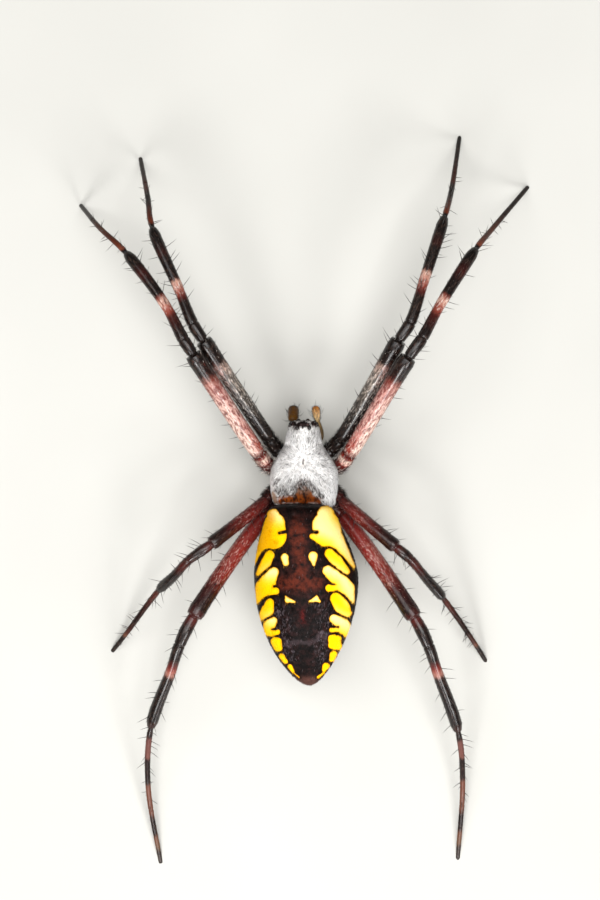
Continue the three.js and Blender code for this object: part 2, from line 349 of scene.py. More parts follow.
def makeStage():
    camera = bpy.data.cameras.new("camera")
    eye = bpy.data.objects.new("camera", camera)
    bpy.context.scene.collection.objects.link(eye)
    bpy.context.scene.camera = eye
    x, y = stage["cameraPlace"]
    eye.location = (x * metre, y * metre, stage["cameraHeight"] * metre)
    eye.rotation_euler = (0, 0, math.pi)
    camera.sensor_fit = "VERTICAL"
    camera.sensor_height = stage["sensor"]
    camera.lens = stage["sensor"] / 2 * (stage["cameraHeight"] - stage["reachLevel"]) / stage["reach"]
    camera.clip_start = stage["clipFrom"]

    # Matt paper sweep: it only gives a soft shadow to stand on.
    material = mottledMaterial("matt paper sweep", 0.85, [(0.2, "#b4b3ae"), (0.8, "#bab9b4")], 25, detail=2)
    shape = bmesh.new()
    bmesh.ops.create_grid(shape, x_segments=4, y_segments=4, size=stage["floorSize"] * metre / 2)
    mesh = toMesh(shape, "floor")
    mesh.materials.append(material)
    floor = bpy.data.objects.new("floor", mesh)
    bpy.context.scene.collection.objects.link(floor)

    for name, place, size, watts in stage["lamps"]:
        lamp = bpy.data.lights.new(name, "AREA")
        lamp.size = size * metre
        lamp.energy = watts
        holder = bpy.data.objects.new(name, lamp)
        holder.location = Vector(place) * metre
        holder.rotation_euler = (-holder.location).to_track_quat("-Z", "Y").to_euler()
        bpy.context.scene.collection.objects.link(holder)
    world = bpy.data.worlds.new("studio")
    bpy.context.scene.world = world
    world.use_nodes = True
    background = world.node_tree.nodes["Background"]
    background.inputs["Color"].default_value = stage["world"]
    background.inputs["Strength"].default_value = stage["worldStrength"]
    bpy.context.scene.view_settings.view_transform = "Standard"


makeStage()
print("stage set")

# Legs: one skin each, from the coxa to the foot, in the same stance as the solids.

legs = {
    "coxaHeight": 6.15,
    "footSink": 0.2,
    "coxae": [[(1.7, -4.6), (2.7, -5.4)], [(1.9, -3.1), (3.5, -3.7)], [(1.9, -1.7), (3.3, -1.0)],
              [(1.5, -0.3), (2.5, 0.3)]],
    "heights": [[7.0, 12.0, 12.1, 11.3, 9.4, 6.1], [7.3, 12.8, 12.9, 11.8, 9.5, 6.2],
                [6.85, 9.5, 9.2, 7.8, 5.8, 1.7], [6.4, 9.6, 9.4, 8.3, 5.4, 2.4]],
    "girths": [(0.83, 0.59, 0.33), (0.87, 0.59, 0.33), (0.7, 0.52, 0.33), (0.86, 0.62, 0.34)],
    "coatDepth": 0.03,
    "sides": 28,
    "rowStep": 0.18,
    "creaseRows": 13,
    "stance": {
        "l1": [(3.55, -6.5), (10, -16.2), (11, -17.8), (12.4, -21.2), (15.1, -27.4), (15.7, -30.7),
               (16.7, -35.1)],
        "l2": [(4.5, -4.9), (11, -14.8), (11.9, -16.2), (13.7, -19.6), (17.7, -24.9), (20.4, -27.5),
               (22.8, -30.3)],
        "l3": [(3.8, -0.3), (9.3, 4.1), (11.5, 5.7), (13, 7.3), (14.6, 8.8), (18.1, 13.4), (19.6, 15.3)],
        "l4": [(3.8, 1.2), (11, 11.3), (12.4, 14.1), (13.3, 16.8), (15.4, 22.6), (15.8, 28.8), (14.6, 36.9)],
        "r1": [(-3.7, -6.4), (-9.4, -16.2), (-10.5, -17.9), (-11.9, -22.1), (-14, -28.5), (-14.8, -31.3),
               (-15.9, -37.3)],
        "r2": [(-4.5, -4.9), (-10.35, -14.5), (-11.7, -16.4), (-13.5, -19.7), (-17.1, -25.3), (-18.9, -27.5),
               (-22.9, -32.2)],
        "r3": [(-3.75, -0.3), (-9.2, 4.4), (-10.6, 5.6), (-12.2, 7.5), (-14, 9.6), (-17.4, 14.4),
               (-18.6, 16.3)],
        "r4": [(-3.8, 1.3), (-11, 11.4), (-12.4, 14.2), (-13.3, 16.8), (-15.5, 23), (-16.1, 28.3),
               (-15.7, 36.5)],
    },
    # From joint to joint: which girth, and its share along coxa, thigh, shin with kneecap, and foot.
    "outlines": [
        (0, 2, 0, [(0, 0.8), (0.3, 0.9), (0.55, 0.92), (0.62, 0.84), (0.7, 0.9), (0.94, 0.88), (1, 0.76)]),
        (2, 3, 0, [(0, 0.84), (0.04, 0.93), (0.2, 0.97), (0.55, 0.98), (0.85, 1.02), (0.94, 1.07),
                   (1, 0.96)]),
        (3, 6, 1, [(0, 0.98), (0.12, 1.1), (0.2, 1.02), (0.4, 0.91), (0.84, 1.06), (0.94, 1.02), (1, 0.68)]),
        (6, 8, 2, [(0, 0.8), (0.05, 1.0), (0.3, 0.92), (0.62, 0.86), (0.66, 0.82), (0.9, 0.8), (1, 0.7)]),
    ],
    # Where two segments meet: joint, share of the radius left in the crease, half its width, its lip.
    "creases": [(1.0, 0.82, 0.05, 0.12), (2.0, 0.7, 0.05, 0.12), (3.0, 0.68, 0.06, 0.09),
                (4.0, 0.88, 0.03, 0.1), (6.0, 0.72, 0.03, 0.08), (7.3, 0.88, 0.03, 0.08)],
    "rearKnee": 0.86,  # the same share at the knee of the two rear pairs
}
lastJoint = 8  # joints are counted from 0 at the coxa to 8 at the tip of the foot

black, soot, ember = "#090403", "#120907", "#260c08"
maroon, rust, blush, cream = "#43100d", "#6b1c12", "#cf9f92", "#e2c9b8"

# Colours along each pair of legs: (joint, colour), and then those of the thigh's inner side. Frost
# and pepper are the shares of pale and of dark specks.
legColours = [
    {
        "bands": [(0, soot), (1.9, black), (2.2, black), (2.36, "#1f1a18"), (2.48, "#473b36"),
                  (2.6, "#705b54"), (2.73, "#94716a"), (2.79, ember), (2.83, black), (3, black),
                  (4.6, soot), (4.74, maroon), (4.84, "#6f3127"), (4.97, "#8c4f43"), (5.1, "#b08474"),
                  (5.15, ember), (5.2, black), (5.48, black), (5.56, ember), (5.7, soot), (5.8, black),
                  (6.06, black), (6.12, "#5a2412"), (6.5, "#38150b"), (6.75, soot), (7.05, soot),
                  (7.15, "#3b160b"), (7.35, "#2a0f07"), (7.6, soot), (8, black)],
        "inner": [(2, black), (2.16, "#1d1917"), (2.32, "#4f4740"), (2.48, "#7b6f64"), (2.64, "#95877d"),
                  (2.74, "#987c70"), (2.79, soot), (3, black)],
        "frost": [(0, 0.05), (2.1, 0.05), (2.3, 0.42), (2.7, 0.36), (2.8, 0.08), (3, 0.05), (3.2, 0),
                  (4.7, 0), (4.85, 0.35), (5.1, 0.35), (5.2, 0), (8, 0)],
        "pepper": [(0, 0), (2.1, 0.1), (2.2, 0.55), (2.6, 0.5), (2.74, 0.45), (2.85, 0), (4.7, 0.1),
                   (4.8, 0.3), (5.1, 0.3), (5.2, 0), (8, 0)],
        "streak": ["#0c0808", "#e6dcd2"],
    },
    {
        "bands": [(0, soot), (1.35, maroon), (1.45, rust), (1.52, blush), (1.78, cream), (1.86, "#86200f"),
                  (2.02, maroon), (2.06, "#c6a99c"), (2.3, "#c2a497"), (2.6, "#b38e83"), (2.74, "#96665b"),
                  (2.8, "#240c0a"), (2.84, black), (4.2, soot), (4.64, "#380f0b"), (4.77, "#783529"),
                  (4.92, "#8f5246"), (5.06, "#b08474"), (5.13, "#6a3027"), (5.18, black), (5.4, soot),
                  (5.56, "#2f0b08"), (5.75, black), (6.06, black), (6.12, "#6c3422"), (6.25, "#562411"),
                  (6.6, "#3a160b"), (6.9, "#47200f"), (7.3, "#1d0c06"), (7.6, soot), (8, black)],
        "inner": [(2, rust), (2.1, "#8f3d30"), (2.22, "#ad736a"), (2.45, "#b58980"), (2.65, "#ad7a72"),
                  (2.76, "#66332a"), (2.8, "#1c0a08"), (3, black)],
        "frost": [(0, 0.2), (1.5, 0.3), (1.9, 0.05), (2.05, 0.35), (2.7, 0.28), (2.8, 0.08), (3, 0.05),
                  (3.2, 0), (4.7, 0), (4.85, 0.35), (5.1, 0.35), (5.2, 0), (8, 0)],
        "pepper": [(0, 0), (1.4, 0.45), (1.85, 0.4), (2.05, 0.38), (2.7, 0.45), (2.85, 0.1), (4.7, 0.1),
                   (4.8, 0.3), (5.1, 0.3), (5.2, 0), (8, 0)],
        "streak": ["#5a1512", "#f2e4d8"],
    },
    {
        "bands": [(0, soot), (1.5, ember), (1.9, maroon), (2.1, "#350d0b"), (2.3, "#5b1813"),
                  (2.6, "#4a1210"), (2.75, "#240908"), (2.95, soot), (3.05, maroon), (3.3, ember),
                  (3.6, soot), (4.3, "#3a100c"), (4.8, soot), (5.9, black), (6.1, "#451a12"), (6.35, ember),
                  (6.7, soot), (6.95, "#3a1812"), (7.0, "#5c3a2c"), (7.08, "#40261d"), (7.15, soot),
                  (8, "#1d1512")],
        "inner": [(2, maroon), (2.3, "#611914"), (2.6, maroon), (2.8, ember), (3, soot)],
        "frost": [(0, 0.1), (2, 0.05), (2.15, 0.2), (2.45, 0.3), (2.66, 0.15), (2.76, 0), (8, 0)],
        "pepper": [(0, 0), (2, 0.2), (2.7, 0.25), (2.9, 0), (8, 0)],
        "streak": ["#190705", "#b98f88"],
    },
    {
        "bands": [(0, soot), (1.6, ember), (2.0, "#4f1210"), (2.2, "#6a1c18"), (2.45, "#763029"),
                  (2.62, "#68241e"), (2.76, "#330d0c"), (2.9, "#1c0808"), (3.1, maroon), (3.4, soot),
                  (4.5, soot), (4.66, "#3c100c"), (4.82, "#5e1c16"), (4.94, "#7c4238"), (5.04, "#8a5c50"),
                  (5.1, soot), (5.85, black), (5.95, ember), (6.04, soot), (6.14, soot), (6.2, "#5a3732"),
                  (6.5, "#603d36"), (6.56, "#1c1413"), (6.93, "#1c1413"), (7.0, "#5e382b"),
                  (7.34, "#5a372a"), (7.42, soot), (7.6, soot), (7.66, "#5c3a2a"), (7.78, "#58402f"),
                  (7.84, "#241c19"), (8, "#332c28")],
        "inner": [(2, "#5a1411"), (2.3, "#701f1a"), (2.6, "#681b16"), (2.78, ember), (2.94, soot),
                  (3, "#7a2a20")],
        "frost": [(0, 0.1), (2, 0.05), (2.15, 0.15), (2.4, 0.34), (2.68, 0.34), (2.8, 0.05), (4.7, 0),
                  (4.9, 0.2), (5.05, 0.2), (5.1, 0), (8, 0)],
        "pepper": [(0, 0), (2, 0.2), (2.4, 0.2), (2.8, 0.3), (2.95, 0), (8, 0)],
        "streak": ["#190705", "#c8a398"],
    },
]

legLook = {
    "drawnOut": 5,  # how many times longer than wide the patterns are
    "apart": 3.1,  # mm from one pair's piece of the patterns to the next one's
    "ragged": 0.016,  # how far the edges of the bands wander: about 0.3 mm
    "innerSpan": (2.04, 2.95),  # joints between which the thigh's inner side has its own colours
    "spread": (1, 1, 1.5),  # specks are drawn out across the leg's length
    "roughness": 0.26,
    "shine": (0.34, 0.16),  # specular level up to the shin, and on the foot
    "footSpan": (5.9, 6.4),  # joints between which it changes
    "hairDark": 0.75,  # how far the hairs' colour goes from the skin's to black
}
# Layers of specks of about 0.1 mm: the finest down glints brown on the black parts, and frost and
# pepper say how many pale and dark ones there are.
legSpecks = {
    "glint": {"shift": (2, 9, 4), "noise": {"Scale": 7, "Detail": 3, "Roughness": 0.7}, "blend": "LIGHTEN",
              "range": {"From Min": 0.5, "From Max": 0.68, "To Max": 0.5}},
    "light": {"shift": (0, 0, 0), "noise": {"Scale": 8, "Detail": 2, "Roughness": 0.6}, "blend": "MIX",
              "range": {"From Min": 0.72, "From Max": 0.88, "To Max": 0.45}},
    "deep": {"shift": (7, 3, 5), "noise": {"Scale": 5.5, "Detail": 3, "Roughness": 0.7}, "blend": "MIX",
             "range": {"From Min": 0.71, "From Max": 0.82, "To Max": 0.8}},
}


def legMaterials(pair):
    # Cuticle: hard, thin and shiny, dark with paler bands, and streaked along the leg.
    colours = legColours[pair]
    dark, pale = colours["streak"]
    made = []
    for name, hairy in (("leg cuticle", False), ("leg bristle", True)):
        material, tree = newMaterial(f"{name}, pair {pair + 1}")
        lengthwise = add(tree, "Attribute", attribute_name="lengthwise").outputs["Vector"]
        joint, inner, frost, last = (add(tree, "Attribute", attribute_name=key).outputs["Fac"]
                                     for key in ("joint", "inner", "frost", "chance" if hairy else "pepper"))
        ragged = add(tree, "TexNoise", {"Vector": lengthwise, "Scale": 4, "Detail": 3, "Roughness": 0.7})
        shifted = add(tree, "Math", {0: ragged, 1: legLook["ragged"], 2: joint},
                      operation="MULTIPLY_ADD")
        place = add(tree, "Math", {0: shifted, 1: legLook["ragged"] / 2}, operation="SUBTRACT")
        bands = add(tree, "ValToRGB", {"Fac": place},
                    stops=[(at / lastJoint, tone) for at, tone in colours["bands"]])
        thigh = add(tree, "MapRange", {"Value": place, "From Min": 2 / lastJoint, "From Max": 3 / lastJoint})
        innerBands = add(tree, "ValToRGB", {"Fac": thigh},
                         stops=[(at - 2, tone) for at, tone in colours["inner"]])
        facing = add(tree, "MapRange", {"Value": inner, "From Min": -0.1, "From Max": 0.4},
                     interpolation_type="SMOOTHSTEP")
        start, end = (at / lastJoint for at in legLook["innerSpan"])
        onThigh = add(tree, "Math", {0: place, 1: start}, operation="GREATER_THAN")
        beforeKnee = add(tree, "Math", {0: place, 1: end}, operation="LESS_THAN")
        share = add(tree, "Math", {0: facing, 1: onThigh}, operation="MULTIPLY")
        share = add(tree, "Math", {0: share, 1: beforeKnee}, operation="MULTIPLY")
        colour = add(tree, "Mix", {0: share, 6: bands, 7: innerBands},
                     data_type="RGBA")
        if hairy:
            share = add(tree, "Math", {0: frost, 1: 0.7}, operation="MULTIPLY")
            white = add(tree, "Math", {0: last, 1: share}, operation="LESS_THAN")
            for share, tone in ((legLook["hairDark"], black), (white, pale)):
                colour = add(tree, "Mix", {0: share, 6: colour, 7: linear(tone)}, data_type="RGBA")
            look = {"Roughness": 0.5, "Specular IOR Level": 0.2}
        else:
            spread = add(tree, "VectorMath", {0: lengthwise, 1: legLook["spread"]}, operation="MULTIPLY")
            for kind, many, tone in (("glint", 0, "#4d3b32"), ("light", frost, pale), ("deep", last, dark)):
                speck = legSpecks[kind]
                spot = add(tree, "VectorMath", {0: spread, 1: speck["shift"]}, operation="ADD")
                noise = add(tree, "TexNoise", {"Vector": spot, **speck["noise"]})
                noise = add(tree, "Math", {0: many, 1: 0.6, 2: noise}, operation="MULTIPLY_ADD")
                share = add(tree, "MapRange", {"Value": noise, **speck["range"]})
                colour = add(tree, "Mix", {0: share, 6: colour, 7: linear(tone)}, data_type="RGBA",
                             blend_type=speck["blend"])
            grain = add(tree, "TexNoise", {"Vector": lengthwise, "Scale": 9, "Detail": 2})
            bump = add(tree, "Bump", {"Height": grain, "Strength": 0.35, "Distance": 0.00002})
            start, end = (at / lastJoint for at in legLook["footSpan"])
            shine = add(tree, "MapRange", {"Value": place, "From Min": start, "From Max": end,
                                           "To Min": legLook["shine"][0], "To Max": legLook["shine"][1]})
            look = {"Roughness": legLook["roughness"], "Specular IOR Level": shine,
                    "Normal": bump}
        shader = add(tree, "BsdfPrincipled", {"Base Color": colour, "IOR": 1.5, **look})
        add(tree, "OutputMaterial", {"Surface": shader})
        made.append(material)
    return made


legCoat = {
    "lying": 1700,
    "standing": 1500,
    "from": 0.6,  # the joint that it starts at, and the share of the leg's length that it ends at
    "to": 0.995,
    "length": (0.25, 0.42),
    "longer": [(1.9, 1.7), (2.05, 1), (3, 1), (6, 0.8), (8, 0.55)],  # joint and share of the length
    "width": 0.021,
    "wider": [(1.9, 1.7), (2.05, 1)],
    "standingWidth": 0.8,
    "lyingLift": (6, 20),
    "standingLift": (35, 65),
    "stray": 0.18,
    # It is thickest on the coxae, within a circle round the middle of the carapace.
    "more": 2.5,
    "middleY": -3.5,
    "within": 5.2,
}
legSpines = {"count": 60, "length": (1.1, 1.6), "longer": [(2, 0.6), (3, 1), (6, 0.9), (7.2, 0.6)],
             "width": 0.075, "lift": (50, 80), "from": 2.12, "to": 7.25, "stray": 0.12, "curl": 0.06}
# Two comb claws and a smaller one between them: how far aside of the line, up and back from the tip.
legClaws = {"aside": [[0.12], [-0.12], [0.0]], "up": 0.16, "back": 0.35, "length": [0.42, 0.42, 0.3],
            "width": 0.09, "lift": 0.5, "curl": 2.6, "patches": [[0.2, 0.99], [0.3, 0.99], [0.25, 0.99]]}


def legRadius(line, pair, lengths):
    places = np.arange(0, line["lengths"][-1] + 0.02, 0.02)
    radii = np.zeros(len(places))
    for start, end, part, outline in legs["outlines"]:
        low, high = lengthAt(line, start), lengthAt(line, end)
        inside = (places >= low) & (places <= high)
        shares = np.interp((places[inside] - low) / (high - low), *zip(*outline))
        radii[inside] = shares * legs["girths"][pair][part]
    radii = np.interp(lengths, places, smoothed(radii, 10)) - legs["coatDepth"]
    for joint, share, half, lip in legs["creases"]:
        if joint == 3 and pair > 1:
            share = legs["rearKnee"]
        gap = np.abs(lengths - lengthAt(line, joint))
        radii = radii * (share + (1 - share) * smoothStep(gap, half, half + lip))
    return radii


def legMarks(limb, row, normals, angle, thickness):
    # Lengthwise patterns are drawn out along the leg, and each leg has its own piece of them.
    joint = jointAt(limb["line"], row)
    aside, up = np.cos(angle) * thickness, np.sin(angle) * thickness
    along = np.stack([aside, up, row / legLook["drawnOut"]], axis=1)
    # The second left thigh is paler inside than the others.
    inner = -limb["sign"] * normals[:, 0] * (0.5 if limb["name"] == "leg_l2" else 1)
    specks = {mark: np.interp(joint, *zip(*legColours[limb["pair"]][mark])) for mark in ("frost", "pepper")}
    return {"joint": joint / lastJoint, "inner": inner,
            "lengthwise": along + limb["pair"] * legLook["apart"] + limb["sign"], **specks}


def legSkin(limb, cuticle):
    line, total, name = limb["line"], limb["total"], limb["name"]
    rows = [np.arange(0, total, legs["rowStep"]), [total]]
    for joint, _, half, lip in legs["creases"]:
        rows.append(lengthAt(line, joint) + np.linspace(-half - lip, half + lip, legs["creaseRows"]))
    rows = np.unique(np.round(np.concatenate(rows), 3))
    rows = rows[(rows >= 0) & (rows <= total)]
    radii = legRadius(line, limb["pair"], rows)

    def put(row, radius, angle):
        places = aroundLine(line, row, radius, angle)
        places[:, 2] = np.maximum(places[:, 2], 0)
        return places

    nodes = [f"{name}_{part}" for part in ("coxa", "thigh", "shin", "foot")]
    body = skin(name + "_skin", [rows[0] - 0.001, *rows, rows[-1] + 0.001], [0, *radii, 0], legs["sides"],
                put, cuticle, "red_leg", nodes)
    upward = getValues(body["mesh"].vertices, "normal", 3)
    setMarks(body["mesh"], legMarks(limb, body["row"], upward, body["angle"], body["radius"]))
    return body


def legHair(limb, body, bristle):
    line, total = limb["line"], limb["total"]

    def weigh(places, _):
        # The hair is thickest and longest on the coxae, where it closes the gaps between the legs.
        near = np.hypot(places[:, 0], places[:, 1] - legCoat["middleY"]) < legCoat["within"]
        return (places[:, 2] > 0.15) * (1 + legCoat["more"] * near)

    roots, normals, patches = scatter(body, legCoat["lying"] + legCoat["standing"], weigh)
    kept = (patches[:, 1] > lengthAt(line, legCoat["from"]) / total) & (patches[:, 1] < legCoat["to"])
    roots, normals, patches = roots[kept], normals[kept], patches[kept]
    count = len(roots)
    row = patches[:, 1] * total
    _, ahead, _, _ = frameAt(line, row)
    standing = draw.random(count) < legCoat["standing"] / (legCoat["standing"] + legCoat["lying"])
    longer, wider = (np.interp(jointAt(line, row), *zip(*legCoat[key])) for key in ("longer", "wider"))
    hair = {
        "lie": ahead + np.cross(normals, ahead) * draw.normal(0, legCoat["stray"], count)[:, None],
        "length": draw.uniform(*legCoat["length"], count) * longer,
        "width": np.where(standing, legCoat["standingWidth"], 1) * legCoat["width"] * wider,
        "lift": np.radians(np.where(standing, draw.uniform(*legCoat["standingLift"], count),
                                    draw.uniform(*legCoat["lyingLift"], count))),
    }
    marks = legMarks(limb, row, normals, patches[:, 0] * math.tau, legRadius(line, limb["pair"], row))
    coat(limb["name"] + "_coat", roots, normals, patches, hair, bristle, marks)


def legBristles(limb):
    line, count = limb["line"], legSpines["count"]
    row = np.linspace(lengthAt(line, legSpines["from"]), lengthAt(line, legSpines["to"]), count)
    row = row + draw.normal(0, legSpines["stray"], count)
    angle = draw.permutation(np.linspace(0, math.tau, count, endpoint=False))
    centre, ahead, side, above = frameAt(line, row)
    normals = side * np.cos(angle)[:, None] + above * np.sin(angle)[:, None]
    longer = np.interp(jointAt(line, row), *zip(*legSpines["longer"]))
    hair = {"lie": ahead, "length": draw.uniform(*legSpines["length"], count) * longer,
            "width": legSpines["width"], "lift": np.radians(draw.uniform(*legSpines["lift"], count))}
    patches = np.stack([angle / math.tau, row / limb["total"]], axis=1)
    roots = centre + normals * legRadius(line, limb["pair"], row)[:, None]
    coat(limb["name"] + "_spines", roots, normals, patches, hair, spineMaterial, rings=3,
         curl=legSpines["curl"])


def legTip(limb):
    place = np.array([limb["total"] - legClaws["back"]])
    end, ahead, side, above = (part[0] for part in frameAt(limb["line"], place))
    roots = end + np.array(legClaws["aside"]) * side + legClaws["up"] * above
    hair = {"lie": np.array([ahead] * 3),
            **{key: np.array(legClaws[key]) for key in ("length", "width", "lift")}}
    coat(limb["name"] + "_claws", roots, np.array([above] * 3), np.array(legClaws["patches"]), hair,
         spineMaterial, rings=4, curl=legClaws["curl"])


def buildLeg(leg, cuticle, bristle):
    pair = int(leg[1]) - 1
    sign = 1 if leg[0] == "l" else -1
    joints = [(sign * x, waistY + y, legs["coxaHeight"]) for x, y in legs["coxae"][pair]]
    heights = legs["heights"][pair] + [-legs["footSink"]]
    line = centreLine(joints + [(x, waistY + y, z) for (x, y), z in zip(legs["stance"][leg], heights)])
    limb = {"name": f"leg_{leg}", "pair": pair, "sign": sign, "line": line, "total": line["lengths"][-1]}
    legHair(limb, legSkin(limb, cuticle), bristle)
    legBristles(limb)
    legTip(limb)


# Horn-like and slightly shiny.
spineMaterial = mottledMaterial("stiff black bristle", 0.4, [(0.3, "#070404"), (0.7, "#1c100c")], 0.4,
                                detail=1)
for pair in range(4):
    cuticle, bristle = legMaterials(pair)
    for leg in (f"l{pair + 1}", f"r{pair + 1}"):
        buildLeg(leg, cuticle, bristle)
print("legs built")

# Abdomen

